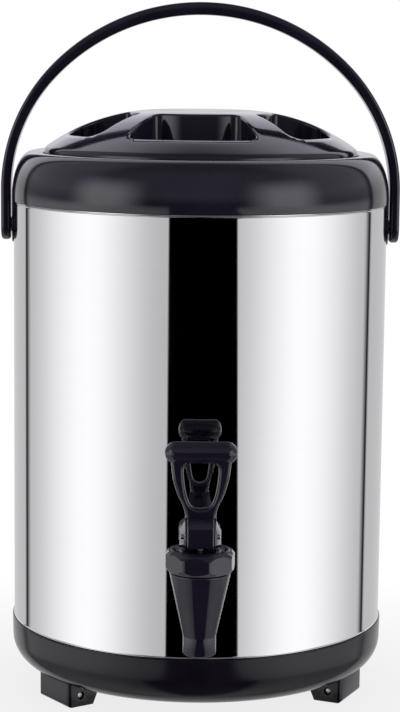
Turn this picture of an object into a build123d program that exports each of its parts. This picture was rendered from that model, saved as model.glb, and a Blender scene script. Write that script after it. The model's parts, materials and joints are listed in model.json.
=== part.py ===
from build123d import *
from math import asin, cos, degrees, radians, sin, sqrt
import os

# An insulated hot water dispenser: a polished steel barrel on a bowl-shaped base with three feet,
# a domed lid with five finger wells in a black collar, a carrying bail and a self-closing lever tap.
# Millimetres, Z up, the tap to the front (-Y). Every piece is drawn about the barrel's axis.

# Gaps
FIT = 0.1            # between pieces that stay together
RUN = 0.3            # between faces that move past each other
PIN_RUN = 0.05       # radial gap of a turning pin

# Steel shell
BODY_R = 126.0       # outside of the polished tube
SHELL_WALL = 0.8
SHELL_LOW = 47.0     # lower end of the bare steel
SHELL_TALL = 284.0   # height of the bare steel
LAP = 3.0            # steel that runs on inside the base and the collar
LIP = 1.2            # the black edges stand out this far from the steel
FLOOR_RIM = 2.0      # turned-down rim of the shell's floor

# Inner pot
INSULATION = 19.4    # foam between shell and pot
POT_WALL = 0.8
POT_BED = 18.0       # foam under the pot
POT_CORNER = 14.0    # rounding inside the pot's floor
POT_FLANGE = 8.0     # width of the pot's turned-out rim
POT_DOWN = 10.0      # that rim below the gasket seat

# Collar and mouth
COLLAR_RISE = 16.4   # drafted wall under the crown
COLLAR_DRAFT = 2.2   # the wall leans in by this much over its height
CROWN_R = 17.3       # rounding of the shoulder
COLLAR_WALL = 2.6
LID_RECESS = 4.3     # depth of the ledge the lid's rim drops into
SEAT_STEP = 5.4      # gasket seat below that ledge
SEAT_IN = 2.7        # the seat's wall is this far inside the lid's edge
NECK_DEEP = 17.0     # neck wall below the gasket seat
NECK_IN = 6.4        # the neck is this much narrower than the pot
RIB_IN = 2.0         # supporting rib inside the pot rim's edge

# Lid
LID_OVER = 0.5       # lid radius beyond the pot's
LID_GAP = 1.1        # groove round the lid
LID_SHUT = 0.5       # gap under the closed lid's edge
LID_RISE = 28.8      # dome over the rim's edge
LID_EDGE = 5.5       # straight rim under the dome
LID_WALL = 2.2
CAP_R = 400.0        # flat middle of the dome
CAP_REACH = 40.0     # radius where the flat middle turns over
DISH_R = 34.0        # shallow dish in the middle
DISH_DEEP = 1.0
LID_TURN = -4.7      # the closed lid's turn about the axis
WELL_CLEAR = 0.7     # between the wells' outer walls and the plug
WELL_REACH = 42.5    # wells run this far in to the hub
WELL_DEEP = 37.4     # well floor below the top of the dome
WELL_CORNER = 4.5    # rounded corners of a well at the hub
WELL_TURN = 8.0      # rounded outer corners
WING_TURN = 26.0     # wide outer corner of the side wells towards the rear
FRONT_SPAN = 59.0    # degrees of arc of the front well
WING_SPAN = 51.5     # degrees of arc of the side wells
RIB_SPAN = 15.0      # degrees of arc of the ribs between the wells
CREASE_START = (38.0, 70.0)   # crease of the lowered skirt: beside and in front of the axis at the well,
CREASE_BOW = (64.0, 62.4)     # past the side well's corner
CREASE_END = (88.0, 48.5)     # and near the rim
SKIRT_SLOPE = 33.5   # degrees the skirt falls outwards
SKIRT_DROP = 0.5     # skirt below the dome at the rim

# Plug, bayonet and gasket
PLUG_GAP = 3.1       # between neck and plug
PLUG_WALL = 2.1
GASKET = 2.0         # thickness of the flat ring
LUGS = 4
LUG_LIFT = 8.0       # lugs over the plug's underside
LUG_TALL = 3.6
LUG_REACH = 2.4
LUG_ARC = 34.0       # degrees of arc of one lug
LEDGE_ARC = 40.0     # degrees of arc of one ledge
LEDGE_TALL = 3.0
LEDGE_GAP = 0.7      # between ledges and plug
STOP_ARC = 2.2       # degrees of arc of the stop at a ledge's far end

# Bail
BAIL_CLEAR = 2.0     # inside of the bail from the steel
BAIL_THICK = 6.4     # strap thickness at the legs
BAIL_WIDE = 21.0     # strap width
BAIL_TOP = 149.6     # outside of the arch over the pivot
BAIL_GRIP = 8.5      # strap thickness at the top
ARCH_FLAT = 7.8      # the arch is this much lower than a half circle
SHOULDER_OFF = 13.6  # centre of the outer shoulder arc from the middle
SHOULDER_MORE = 4.1  # the inner one's centre is this much further out
BAIL_EDGE = 2.2      # rounded edges of the strap
PIVOT_DROP = 16.6    # pivot below the collar's edge
EAR_WIDE = 24.0
BOSS_R = 5.2         # raised ring round the pivot
STUD_R = 4.0         # turned shoulder of the pivot stud
STUD_THREAD_R = 3.0
STUD_HEAD_R = 6.0
STUD_HEAD = 2.4
STUD_SUNK = 0.5      # head below the bail's face
PLATE_SIDE = 28.0    # backing plate behind the ear
PLATE_THICK = 3.0

# Base and feet
BASE_STAND = 14.0    # base over the table
BASE_ROUND = 19.5    # rounding of the bowl
BASE_TAPER = 0.7     # the bowl's wall leans in by this much
BASE_WALL = 2.6
RECESS_R = 72.0      # raised middle of the underside
RECESS_DEEP = 4.0
POST_R = 7.0
POST_RING = 52.0     # radius of the circle of posts
SCREW_R = 2.5
SCREW_HEAD_R = 4.5
SCREW_HEAD = 2.8
NUT_TALL = 4.0
FEET = 3
FOOT_TURN = 4.5      # turn of the base about the axis
FOOT_INSET = 10.0    # outer face of a foot inside the steel's
FOOT_WIDE = 38.0
FOOT_SOLE = 19.5     # radial length of the flat sole
FOOT_SLANT = 6.0     # how far the inner face leans in
FOOT_CORNER = 3.0
TENON = 12.0         # lug of the base inside each foot
TENON_DROP = 9.0
PEG_R = 1.5          # cross screw of a foot
PEG_HEAD_R = 2.6
PEG_HEAD = 1.6

# Tap
TAP_REACH = 39.0     # tap axis in front of the steel
SPOUT_Z = 62.8       # mouth of the spout over the table
SPOUT_R = 10.3
SPOUT_TALL = 11.8
CONE_TALL = 40.5
CONE_TOP_R = 19.1
SPOUT_BORE = 8.0
CHAMBER_R = 11.4
SEAT_LIFT = 28.2     # valve seat over the spout's mouth
SEAT_THICK = 4.0
SEAT_BORE = 6.0
NECK_TALL = 9.0     # threaded neck under the bonnet
NECK_OUT = 16.8
SHANK_LIFT = 36.2    # shank axis over the spout's mouth
SHANK_R = 10.5
SHANK_BORE = 6.5
SHANK_TAIL = 16.0    # shank inside the pot
FLANGE_R = 14.0
FLANGE_THICK = 3.0
WASHER_R = 13.6
WASHER = 3.0
NUT_R = 17.0         # across the nut's corners
NUT_THICK = 9.0
SLEEVE_WALL = 1.0

# Bonnet, valve and lever
BONNET_R = 21.6
BONNET_END_R = 18.9
BONNET_TALL = 14.0
BONNET_RIM = 3.4
BONNET_PLATE = 3.0
GASKET_THICK = 1.5
STEM_R = 3.0
SEAL_R = 9.0
SEAL_TALL = 7.0
SOCKET = 3.0         # stem end inside the seal
STEM_COLLAR_R = 8.4
STEM_COLLAR = 2.0
WIRE_R = 0.6
COIL_R = 6.4
COIL_TURNS = 6
PIN_R = 1.5
PIN_LIFT = 8.0       # lever pin over the bonnet's plate
EYE_R = 4.2
EYE_WIDE = 7.6
CAM_LIFT = 4.0       # the pin rises this far ...
CAM_TURN = 50.0      # ... over this tilt in degrees
CAM_GAP = 0.2        # the cam foot's gap to the bonnet
CHEEK_WIDE = 25.8    # lever foot over the pin bosses
CHEEK_BACK = 7.4
CHEEK_FRONT = 6.4
NOSE_WIDE = 16.4     # cam nose
LEVER_TALL = 67.5    # grip's top over the bonnet's plate
GRIP_WIDE = 44.8
GRIP_R = 6.8
ARM_HALF = 17.6      # outside of the loop under the grip ...
ARM_WAIST = 14.7     # ... half way down ...
NECK_HALF = 10.5     # ... and at the neck
ARM_THICK = 8.4
ARM_EDGE = 1.8       # rounded outer edges of the loop
ARM_FLARE = 2.5      # the loop spreads by this much into the grip
LEVER_NECK = 12.4    # neck over the pin
CHEEK_BEND = 4.0     # the foot's sides lean in from here over the pin
NOSE_BEND = 1.5
CHEEK_TOP = 1.4      # upright flanks end here over the pin
EYELET_TOP = 10.8    # half width of the loop's hole at the top ...
EYELET_LOW = 5.4     # ... and at the bottom
EYELET_SILL = 26.6   # hole's lower end over the bonnet's plate
EYELET_CORNER = 4.6

# Levels and radii that follow from the sizes above
SHELL_HIGH = SHELL_LOW + SHELL_TALL
CROWN_Z = SHELL_HIGH + COLLAR_RISE
CREST_Z = CROWN_Z + CROWN_R
LEDGE_Z = CREST_Z - LID_RECESS
SEAT_Z = LEDGE_Z - SEAT_STEP
NECK_LOW = SEAT_Z - NECK_DEEP
POT_R = BODY_R - SHELL_WALL - INSULATION - POT_WALL
NECK_R = POT_R - NECK_IN
LID_R = POT_R + LID_OVER
RECESS_WALL_R = LID_R + LID_GAP
SEAT_R = LID_R - SEAT_IN
POT_TOP = SEAT_Z - POT_DOWN
FLOOR_Z = SHELL_LOW - LAP + FLOOR_RIM
POT_FLOOR = FLOOR_Z + SHELL_WALL + POT_BED + POT_WALL
LID_LOW = LEDGE_Z + LID_SHUT
LID_BROW = LID_LOW + LID_EDGE
LID_TOP = LID_BROW + LID_RISE
WELL_FLOOR = LID_TOP - WELL_DEEP
PLUG_R = NECK_R - PLUG_GAP
WELL_R = PLUG_R - PLUG_WALL - LID_WALL - WELL_CLEAR
HUB_R = WELL_R - WELL_REACH
FLANGE_LOW = SEAT_Z + GASKET
LUG_Z = NECK_LOW + LUG_LIFT
PIVOT_Z = SHELL_HIGH - PIVOT_DROP
BAIL_IN = BODY_R + BAIL_CLEAR
BAIL_OUT = BAIL_IN + BAIL_THICK
FOOT_R = BODY_R - FOOT_INSET
TAP_Y = -(BODY_R + TAP_REACH)
TAP_SEAT = SPOUT_Z + SEAT_LIFT
CONE_Z = SPOUT_Z + SPOUT_TALL + CONE_TALL
SHANK_Z = SPOUT_Z + SHANK_LIFT
NECK_Z = CONE_Z + NECK_TALL
PLATE_LOW = NECK_Z + GASKET_THICK
PLATE_Z = PLATE_LOW + BONNET_PLATE
PIN_Z = PLATE_Z + PIN_LIFT
CAM_RATE = CAM_LIFT / radians(CAM_TURN)
FOOT_ANGLES = [FOOT_TURN + 90 + 360 / FEET * turn for turn in range(FEET)]

# The part's origin is the middle of its standing box, so the barrel's axis lies behind it.
AXIS_Y = (TAP_REACH + BONNET_R - LIP) / 2


def drum(radius, low, high):
    """Upright cylinder on the barrel's axis."""
    return Pos(0, 0, low) * Cylinder(radius, high - low, align=(Align.CENTER, Align.CENTER, Align.MIN))


def tube(outer, inner, low, high):
    """Upright tube on the barrel's axis."""
    return drum(outer, low, high) - drum(inner, low - 1, high + 1)


def rod_x(radius, start, end, z):
    """Cylinder along X between two stations."""
    bar = Cylinder(radius, end - start, align=(Align.CENTER, Align.CENTER, Align.MIN))
    return Pos(start, 0, z) * Rot(0, 90, 0) * bar


def rod_y(radius, start, end, z):
    """Cylinder along Y between two stations."""
    bar = Cylinder(radius, end - start, align=(Align.CENTER, Align.CENTER, Align.MIN))
    return Pos(0, start, z) * Rot(-90, 0, 0) * bar


def spun(profile):
    """Solid of revolution from a flat (radius, height) profile."""
    return revolve(Plane.XZ * profile, Axis.Z)


def outline(*corners):
    """Flat face inside straight lines."""
    return make_face(Polyline(*corners, close=True))


def sector(inner, outer, middle, arc, low, high):
    """Piece of an upright tube about a compass direction."""
    far = 2 * outer
    half = radians(arc / 2)
    wedge = outline((0, 0), (far * cos(half), -far * sin(half)), (far * cos(half), far * sin(half)))
    slice_ = extrude(Pos(0, 0, low) * Rot(0, 0, middle) * wedge, high - low)
    return tube(outer, inner, low, high) & slice_


def both_sides(piece):
    """The piece and its mirror image across the YZ plane."""
    return piece + mirror(piece, Plane.YZ)


# Steel shell, with the holes for the tap's shank and for the two pivot studs
shell_holes = rod_y(SHANK_R + FIT, TAP_Y, 0, SHANK_Z)
shell_holes += rod_x(STUD_THREAD_R + FIT, -2 * BODY_R, 2 * BODY_R, PIVOT_Z)
outer_shell = tube(BODY_R, BODY_R - SHELL_WALL, SHELL_LOW - LAP, SHELL_HIGH + LAP) - shell_holes

# Pressed floor of the shell: a disc with a turned-down rim
floor_r = BODY_R - SHELL_WALL - FIT
shell_floor = drum(floor_r, SHELL_LOW - LAP + FIT, FLOOR_Z + SHELL_WALL)
shell_floor -= drum(floor_r - SHELL_WALL, 0, FLOOR_Z)
post_places = [Rot(0, 0, angle + 180 / FEET) * Pos(POST_RING, 0, 0) for angle in FOOT_ANGLES]
for place in post_places:
    shell_floor -= place * drum(SCREW_R + FIT, 0, SHELL_LOW + LAP)


def pot_form(radius, low, corner):
    """Drum with a rounded lower edge, up to the pot's rim."""
    form = drum(radius, low, POT_TOP + POT_WALL)
    return fillet(form.edges().group_by(Axis.Z)[0], corner)


# Drawn inner pot with a turned-out rim and the tap's hole
inner_pot = pot_form(POT_R + POT_WALL, POT_FLOOR - POT_WALL, POT_CORNER + POT_WALL)
inner_pot += drum(POT_R + POT_FLANGE, POT_TOP, POT_TOP + POT_WALL)
inner_pot -= pot_form(POT_R, POT_FLOOR, POT_CORNER)
inner_pot -= rod_y(SHANK_R + FIT, TAP_Y, 0, SHANK_Z)

# Sleeve that carries the shank through the insulation
jacket = tube(BODY_R - SHELL_WALL - FIT, POT_R + POT_WALL + FIT, FLOOR_Z, POT_TOP)
sleeve_bore = SHANK_R + FIT
tap_sleeve = rod_y(sleeve_bore + SLEEVE_WALL, TAP_Y, 0, SHANK_Z) & jacket
tap_sleeve -= rod_y(sleeve_bore, TAP_Y, 0, SHANK_Z)

# Backing plates behind the two ears
plate_block = Pos(BODY_R, 0, PIVOT_Z) * Box(BODY_R / 2, PLATE_SIDE, PLATE_SIDE)
plate_ring = tube(BODY_R - SHELL_WALL - FIT, BODY_R - SHELL_WALL - FIT - PLATE_THICK, 0, SHELL_HIGH)
pivot_plates = both_sides((plate_ring & plate_block) - rod_x(STUD_THREAD_R + PIN_RUN, 0, BODY_R, PIVOT_Z))

# Nuts on the shell's floor and the screws that hold the base
nut = extrude(RegularPolygon(SCREW_HEAD_R, 6), NUT_TALL) - Cylinder(SCREW_R + FIT, 4 * NUT_TALL)
nut = Pos(0, 0, FLOOR_Z + SHELL_WALL) * nut
floor_nuts = Compound([place * nut for place in post_places])

# Foam jacket round the pot, clear of the sleeve, the plates and the nuts
body_foam = drum(BODY_R - SHELL_WALL - FIT, FLOOR_Z + SHELL_WALL + FIT, POT_TOP - FIT)
body_foam -= pot_form(POT_R + POT_WALL + FIT, POT_FLOOR - POT_WALL - FIT, POT_CORNER + POT_WALL + FIT)
body_foam -= rod_y(sleeve_bore + SLEEVE_WALL + FIT, TAP_Y, 0, SHANK_Z)
plate_pocket = BODY_R - SHELL_WALL - PLATE_THICK - 3 * FIT
pocket = tube(BODY_R, plate_pocket, 0, SHELL_HIGH) & Pos(BODY_R, 0, PIVOT_Z) * Box(
    BODY_R, PLATE_SIDE + 2 * FIT, PLATE_SIDE + 2 * FIT)
stud_tail = BODY_R - SHELL_WALL - 2 * PLATE_THICK
pocket += rod_x(STUD_THREAD_R + FIT, stud_tail - FIT, BODY_R, PIVOT_Z)
body_foam -= both_sides(pocket)
collar_inside = BODY_R + LIP - COLLAR_DRAFT - COLLAR_WALL - FIT
body_foam -= tube(BODY_R, collar_inside, SHELL_HIGH + LAP, POT_TOP)
for place in post_places:
    body_foam -= place * drum(SCREW_HEAD_R + FIT, FLOOR_Z, FLOOR_Z + SHELL_WALL + NUT_TALL + 2 * SCREW_R)


def collar_form(inset):
    """Outer shape of the collar: drafted wall and quarter-round crown, drawn in by a wall."""
    foot = BODY_R + LIP - inset
    side = BODY_R + LIP - COLLAR_DRAFT - inset
    crown = CROWN_R - inset
    low = SHELL_HIGH - (1 if inset else 0)
    shoulder = CenterArc((side - crown, CROWN_Z), crown, 0, 90)
    top = CROWN_Z + crown
    rim = Polyline((side - crown, top), (0, top), (0, low), (foot, low), (side, CROWN_Z))
    return spun(make_face(shoulder + rim))


def mouth(grow):
    """Stepped mouth of the collar: lid recess, gasket seat and neck, grown by a wall."""
    steps = drum(RECESS_WALL_R + grow, LEDGE_Z - grow, CREST_Z + 5)
    steps += drum(SEAT_R + grow, SEAT_Z - grow, CREST_Z + 5)
    return steps + drum(NECK_R + grow, NECK_LOW, CREST_Z + 5)


# Collar: the moulded wall between its outside and its hollow underside
top_collar = collar_form(0) - (collar_form(COLLAR_WALL) - mouth(COLLAR_WALL)) - mouth(0)
top_collar -= drum(NECK_R, SHELL_HIGH - 1, CREST_Z)
top_collar -= drum(BODY_R + FIT, SHELL_HIGH - 1, SHELL_HIGH + LAP + FIT) - drum(
    NECK_R + COLLAR_WALL, SHELL_HIGH - 2, CREST_Z)
# Rib that rests on the pot's turned-out rim
rib_r = POT_R + POT_FLANGE - RIB_IN
top_collar += tube(rib_r, rib_r - COLLAR_WALL, POT_TOP + POT_WALL, LEDGE_Z - COLLAR_WALL / 2)
# Bayonet ledges with their stops, half a step away from the entry gaps of the lid's lugs
ledge_low = LUG_Z + LUG_TALL + RUN
ledge_r = PLUG_R + LEDGE_GAP
stop_turn = LEDGE_ARC / 2 - STOP_ARC / 2
for turn in range(LUGS):
    direction = LID_TURN + 360 / LUGS * (turn + 0.5)
    top_collar += sector(ledge_r, NECK_R + 1, direction, LEDGE_ARC, ledge_low, ledge_low + LEDGE_TALL)
    stop_at = direction - stop_turn
    top_collar += sector(ledge_r, NECK_R + 1, stop_at, STOP_ARC, ledge_low - LUG_TALL, ledge_low + 1)
# Ears that hang over the steel, each with a raised ring round the pivot
ear_face = Pos(0, PIVOT_DROP / 2 + 1) * Rectangle(EAR_WIDE, PIVOT_DROP + 2) + Circle(EAR_WIDE / 2)
ear = extrude(Plane(origin=(0, 0, PIVOT_Z), x_dir=(0, 1, 0), z_dir=(1, 0, 0)) * ear_face, 2 * BODY_R)
ear = ear & tube(BODY_R + LIP, BODY_R + FIT, 0, SHELL_HIGH + 2)
boss_reach = BAIL_IN - RUN / 3
ear += rod_x(BOSS_R, BODY_R + LIP / 2, boss_reach, PIVOT_Z)
ear -= rod_x(STUD_THREAD_R + PIN_RUN, 0, 2 * BODY_R, PIVOT_Z)
top_collar += both_sides(ear)

# Pivot studs: recessed head, turned shoulder, threaded end in the backing plate
stud_head_in = BAIL_OUT - STUD_SUNK - STUD_HEAD
stud = rod_x(STUD_HEAD_R, stud_head_in, stud_head_in + STUD_HEAD, PIVOT_Z)
stud += rod_x(STUD_R, boss_reach, stud_head_in, PIVOT_Z)
stud += rod_x(STUD_THREAD_R, stud_tail, boss_reach, PIVOT_Z)
pivot_studs = both_sides(stud)


def arch(half, top, offset):
    """Arch outline: legs, shoulder arcs centred beside the middle, and a crown arc tangent to both."""
    rise = top - leg_z
    bend_r = half - offset
    crown_r = (offset ** 2 + rise ** 2 - bend_r ** 2) / (2 * (rise - bend_r))
    scale = crown_r / (crown_r - bend_r)
    shoulder = (scale * offset, top - crown_r + scale * (crown_r - rise))
    leg = Line((half, PIVOT_Z - BAIL_WIDE), (half, leg_z))
    bend = TangentArc((half, leg_z), shoulder, tangent=(0, 1))
    crown = ThreePointArc(shoulder, (0, top), (-shoulder[0], shoulder[1]))
    return leg + bend + crown + mirror(bend, Plane.YZ) + mirror(leg, Plane.YZ)


# Bail: a flat strap bent to an arch, its legs rounded about the pivots
arch_top = PIVOT_Z + BAIL_TOP
leg_z = arch_top - (BAIL_OUT - ARCH_FLAT)
outside = arch(BAIL_OUT, arch_top, SHOULDER_OFF)
inside = arch(BAIL_IN, arch_top - BAIL_GRIP, SHOULDER_OFF + SHOULDER_MORE)
ends = Line((BAIL_IN, PIVOT_Z - BAIL_WIDE), (BAIL_OUT, PIVOT_Z - BAIL_WIDE))
strap_face = make_face(outside + inside + ends + mirror(ends, Plane.YZ))
strap = extrude(Plane.XZ * strap_face, BAIL_WIDE / 2, both=True)
leg_face = Pos(0, BAIL_TOP / 2) * Rectangle(BAIL_WIDE, BAIL_TOP) + Circle(BAIL_WIDE / 2)
side_view = Plane(origin=(-BAIL_OUT, 0, PIVOT_Z), x_dir=(0, 1, 0), z_dir=(1, 0, 0)) * leg_face
bail_handle = strap & extrude(side_view, 2 * BAIL_OUT)
rims = bail_handle.faces().filter_by(Plane.XZ).edges()
lug_rims = bail_handle.edges().filter_by(GeomType.CIRCLE).filter_by(
    lambda edge: edge.arc_center.Z < PIVOT_Z + 1 and abs(edge.radius - BAIL_WIDE / 2) < 0.01)
bail_handle = fillet(rims + lug_rims, BAIL_EDGE)
bail_handle -= rod_x(STUD_R + PIN_RUN, -2 * BODY_R, 2 * BODY_R, PIVOT_Z)
sink = rod_x(STUD_HEAD_R + RUN, stud_head_in - RUN, 2 * BODY_R, PIVOT_Z)
bail_handle -= both_sides(sink)


def base_form(inset):
    """Outer shape of the base: near-upright wall and quarter-round bowl, drawn in by a wall."""
    rim = BODY_R + LIP - inset
    wall = BODY_R + LIP - BASE_TAPER - inset
    bowl = BASE_ROUND - inset
    turn = BASE_STAND + BASE_ROUND
    high = SHELL_LOW + (1 if inset else 0)
    sweep = CenterArc((wall - bowl, turn), bowl, -90, 90)
    rest = Polyline((wall, turn), (rim, high), (0, high), (0, turn - bowl), (wall - bowl, turn - bowl))
    return spun(make_face(sweep + rest))


# Base: moulded bowl with a raised middle, three screw posts and a lug for each foot
recess_top = BASE_STAND + RECESS_DEEP
hollow = base_form(BASE_WALL) - drum(RECESS_R + BASE_WALL, 0, recess_top + BASE_WALL)
base_cup = base_form(0) - hollow - drum(RECESS_R, 0, recess_top)
base_cup -= drum(BODY_R + FIT, SHELL_LOW - LAP - FIT, SHELL_LOW + LAP)
for place in post_places:
    base_cup += place * drum(POST_R, recess_top + BASE_WALL / 2, FLOOR_Z - FIT)
    base_cup -= place * drum(SCREW_R + FIT, 0, FLOOR_Z)
tenon_r = FOOT_R - FOOT_SOLE / 2
peg_z = BASE_STAND - TENON_DROP / 2 - 2
tenon = Pos(tenon_r, 0, BASE_STAND - TENON_DROP) * Box(
    TENON, TENON, TENON_DROP + BASE_WALL / 2, align=(Align.CENTER, Align.CENTER, Align.MIN))
peg_hole = Pos(tenon_r, 0, peg_z) * Rot(90, 0, 0) * Cylinder(PEG_R + FIT, 2 * FOOT_WIDE)
for angle in FOOT_ANGLES:
    base_cup += Rot(0, 0, angle) * (tenon - peg_hole)

# Base screws, driven up through the posts into the nuts
screw = drum(SCREW_R, recess_top, FLOOR_Z + SHELL_WALL + NUT_TALL + SCREW_R)
screw += drum(SCREW_HEAD_R, recess_top - SCREW_HEAD, recess_top)
base_screws = Compound([place * screw for place in post_places])

# Foot: block with a slanted inner face, its top shaped to the bowl, a socket for the base's lug
foot_in = FOOT_R - FOOT_SOLE
foot_high = BASE_STAND + BASE_ROUND / 2
foot_face = outline(
    (FOOT_R, 0), (FOOT_R, foot_high), (foot_in - FOOT_SLANT, foot_high), (foot_in - FOOT_SLANT, BASE_STAND),
    (foot_in, 0))
foot = extrude(Plane.XZ * foot_face, FOOT_WIDE / 2, both=True)
foot = fillet(foot.edges().filter_by(Axis.Z).group_by(Axis.X)[-1], FOOT_CORNER)
foot -= base_form(-FIT)
socket = Pos(tenon_r, 0, BASE_STAND - TENON_DROP - FIT) * Box(
    TENON + 2 * FIT, TENON + 2 * FIT, 2 * TENON_DROP, align=(Align.CENTER, Align.CENTER, Align.MIN))
foot -= socket
peg_tail = TENON / 2 + 2
peg_top = FOOT_WIDE / 2 - 1
foot -= Pos(tenon_r, 0, peg_z) * rod_y(PEG_R + FIT, -peg_tail - FIT, FOOT_WIDE, 0)
foot -= Pos(tenon_r, 0, peg_z) * rod_y(PEG_HEAD_R + FIT, peg_top - PEG_HEAD, FOOT_WIDE, 0)
peg = Pos(tenon_r, 0, peg_z) * (
    rod_y(PEG_R, -peg_tail, peg_top - PEG_HEAD, 0) + rod_y(PEG_HEAD_R, peg_top - PEG_HEAD, peg_top, 0))
foot_places = [Rot(0, 0, angle) for angle in FOOT_ANGLES]
turned_foot = mirror(foot, Plane.XZ)
foot_rear = foot_places[0] * foot
foot_left = foot_places[1] * foot
foot_right = foot_places[2] * turned_foot
pegs = [foot_places[0] * peg, foot_places[1] * peg, foot_places[2] * mirror(peg, Plane.XZ)]
foot_screws = Compound(pegs)


def dome(inset, low):
    """Lid's domed outside down to a level, drawn in by a wall."""
    top = LID_TOP - inset
    edge = LID_R - inset
    turn = degrees(asin(CAP_REACH / CAP_R))
    cap = CenterArc((0, top - CAP_R), CAP_R, 90 - turn, turn)
    knee = (CAP_REACH, top - CAP_R + sqrt(CAP_R**2 - CAP_REACH**2))
    slope = (cos(radians(turn)), -sin(radians(turn)))
    brow = TangentArc(knee, (edge, LID_BROW), tangent=slope)
    rest = Polyline((edge, LID_BROW), (edge, low), (0, low), (0, top))
    return spun(make_face(cap + brow + rest))


def polar(radius, angle):
    """Point at a radius and an angle in degrees from the front towards the right."""
    return Vector(radius * sin(radians(angle)), -radius * cos(radians(angle)))


def corner(radius, turn, side, sense, grow):
    """Rounded corner of a well, where a radial side meets a circle: points on circle, halfway and on side."""
    ring = radius - turn if radius > HUB_R else radius + turn
    angle = side - sense * degrees(asin(turn / ring))
    along = polar(1 if radius > HUB_R else -1, angle)
    across = polar(1, side + sense * 90)
    middle, reach = polar(ring, angle), turn + grow
    return middle + along * reach, middle + (along + across).normalized() * reach, middle + across * reach


def well_plan(start, end, start_turn, end_turn, grow):
    """Plan of a finger well between two radial sides, grown by a wall."""
    out_start = corner(WELL_R, start_turn, start, -1, grow)
    out_end = corner(WELL_R, end_turn, end, 1, grow)
    in_start = corner(HUB_R, WELL_CORNER, start, -1, grow)
    in_end = corner(HUB_R, WELL_CORNER, end, 1, grow)
    rim_middle = (out_start[0] + out_end[0]).normalized() * (WELL_R + grow)
    hub_middle = polar(HUB_R - grow, (start + end) / 2)
    edges = ThreePointArc(out_start[0], rim_middle, out_end[0]) + ThreePointArc(*out_end)
    edges += Line(out_end[2], in_end[2]) + ThreePointArc(*in_end)
    edges += ThreePointArc(in_end[0], hub_middle, in_start[0]) + ThreePointArc(*in_start)
    edges += Line(in_start[2], out_start[2]) + ThreePointArc(*out_start)
    return make_face(edges)


def well_plans(grow):
    """Plans of the five finger wells, grown by a wall."""
    wing = FRONT_SPAN / 2 + RIB_SPAN
    wing_end = wing + WING_SPAN
    rear, rear_end = wing_end + RIB_SPAN, 180 - RIB_SPAN / 2
    return [
        well_plan(-FRONT_SPAN / 2, FRONT_SPAN / 2, WELL_TURN, WELL_TURN, grow),
        well_plan(wing, wing_end, WELL_TURN, WING_TURN, grow),
        well_plan(-wing_end, -wing, WING_TURN, WELL_TURN, grow),
        well_plan(rear, rear_end, WELL_TURN, WELL_TURN, grow),
        well_plan(-rear_end, -rear, WELL_TURN, WELL_TURN, grow)]


def wells(grow, floor):
    """The five wells as upright prisms down to a floor."""
    tall = LID_TOP + WELL_DEEP - floor
    prisms = [extrude(Pos(0, 0, floor) * plan, tall, dir=(0, 0, 1)) for plan in well_plans(grow)]
    return prisms[0] + prisms[1:]


def skirt_cut(inset):
    """What is taken off the dome's front and rear to lower the skirt in front of a curved crease."""
    fall = sin(radians(SKIRT_SLOPE)) / cos(radians(SKIRT_SLOPE))
    edge_z = LID_BROW - SKIRT_DROP - inset
    far = 2 * LID_R
    high = 2 * LID_TOP
    above = spun(outline(
        (0, edge_z + LID_R * fall), (far, edge_z - (far - LID_R) * fall), (far, high), (0, high)))
    start, bow, end = [(x, inset - y) for x, y in (CREASE_START, CREASE_BOW, CREASE_END)]
    crease = ThreePointArc(start, bow, end)
    edge = Polyline(end, (far, end[1]), (far, -far), (0, -far), (0, start[1]), start)
    half = extrude(Pos(0, 0, LID_LOW) * make_face(crease + edge), high)
    front = above & both_sides(half)
    return front + Rot(0, 0, 180) * front


# Lid cover: a thin dome with lowered skirts, a dish in the middle and five hanging finger wells
dish_ball = (DISH_R**2 + DISH_DEEP**2) / (2 * DISH_DEEP)
dish_z = LID_TOP - DISH_R**2 / (2 * CAP_R)
dish = Pos(0, 0, dish_z - DISH_DEEP + dish_ball) * Sphere(dish_ball)
bucket_low = WELL_FLOOR - LID_WALL
lid_skin = dome(0, LID_LOW) - skirt_cut(0) - dish
lid_skin -= dome(LID_WALL, LID_LOW - 1) - skirt_cut(LID_WALL) - Pos(0, 0, -LID_WALL) * dish
buckets = wells(LID_WALL, bucket_low) & (dome(0, bucket_low) - skirt_cut(0))
lid_cover = Rot(0, 0, LID_TURN) * (lid_skin + buckets - wells(0, WELL_FLOOR))

# Lid liner: plug with a seat flange, an upstand under the dome and four bayonet lugs
flange_r = SEAT_R - 2 * RUN
flange_high = FLANGE_LOW + PLUG_WALL
lid_liner = drum(PLUG_R, NECK_LOW, flange_high) + drum(flange_r, FLANGE_LOW, flange_high)
lid_liner += tube(flange_r, flange_r - PLUG_WALL, FLANGE_LOW, LID_TOP)
lid_liner -= drum(PLUG_R - PLUG_WALL, NECK_LOW + PLUG_WALL, flange_high + 1)
lid_liner &= dome(LID_WALL + FIT, NECK_LOW) - skirt_cut(LID_WALL + FIT)
for turn in range(LUGS):
    lid_liner += sector(PLUG_R - 1, PLUG_R + LUG_REACH, 360 / LUGS * turn, LUG_ARC, LUG_Z, LUG_Z + LUG_TALL)
lid_liner = Rot(0, 0, LID_TURN) * lid_liner

# Lid foam under the wells and up inside the hub
foam_r = PLUG_R - PLUG_WALL - FIT
lid_foam = drum(foam_r, NECK_LOW + PLUG_WALL + FIT, WELL_FLOOR - LID_WALL - FIT)
hub_foam = drum(HUB_R - LID_WALL - FIT, NECK_LOW + PLUG_WALL + FIT, LID_TOP) & dome(LID_WALL + FIT, NECK_LOW)
lid_foam += hub_foam - Pos(0, 0, -LID_WALL - FIT) * dish

# Gasket under the liner's flange, on the collar's seat
lid_gasket = tube(flange_r, PLUG_R + RUN, SEAT_Z, SEAT_Z + GASKET)

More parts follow.
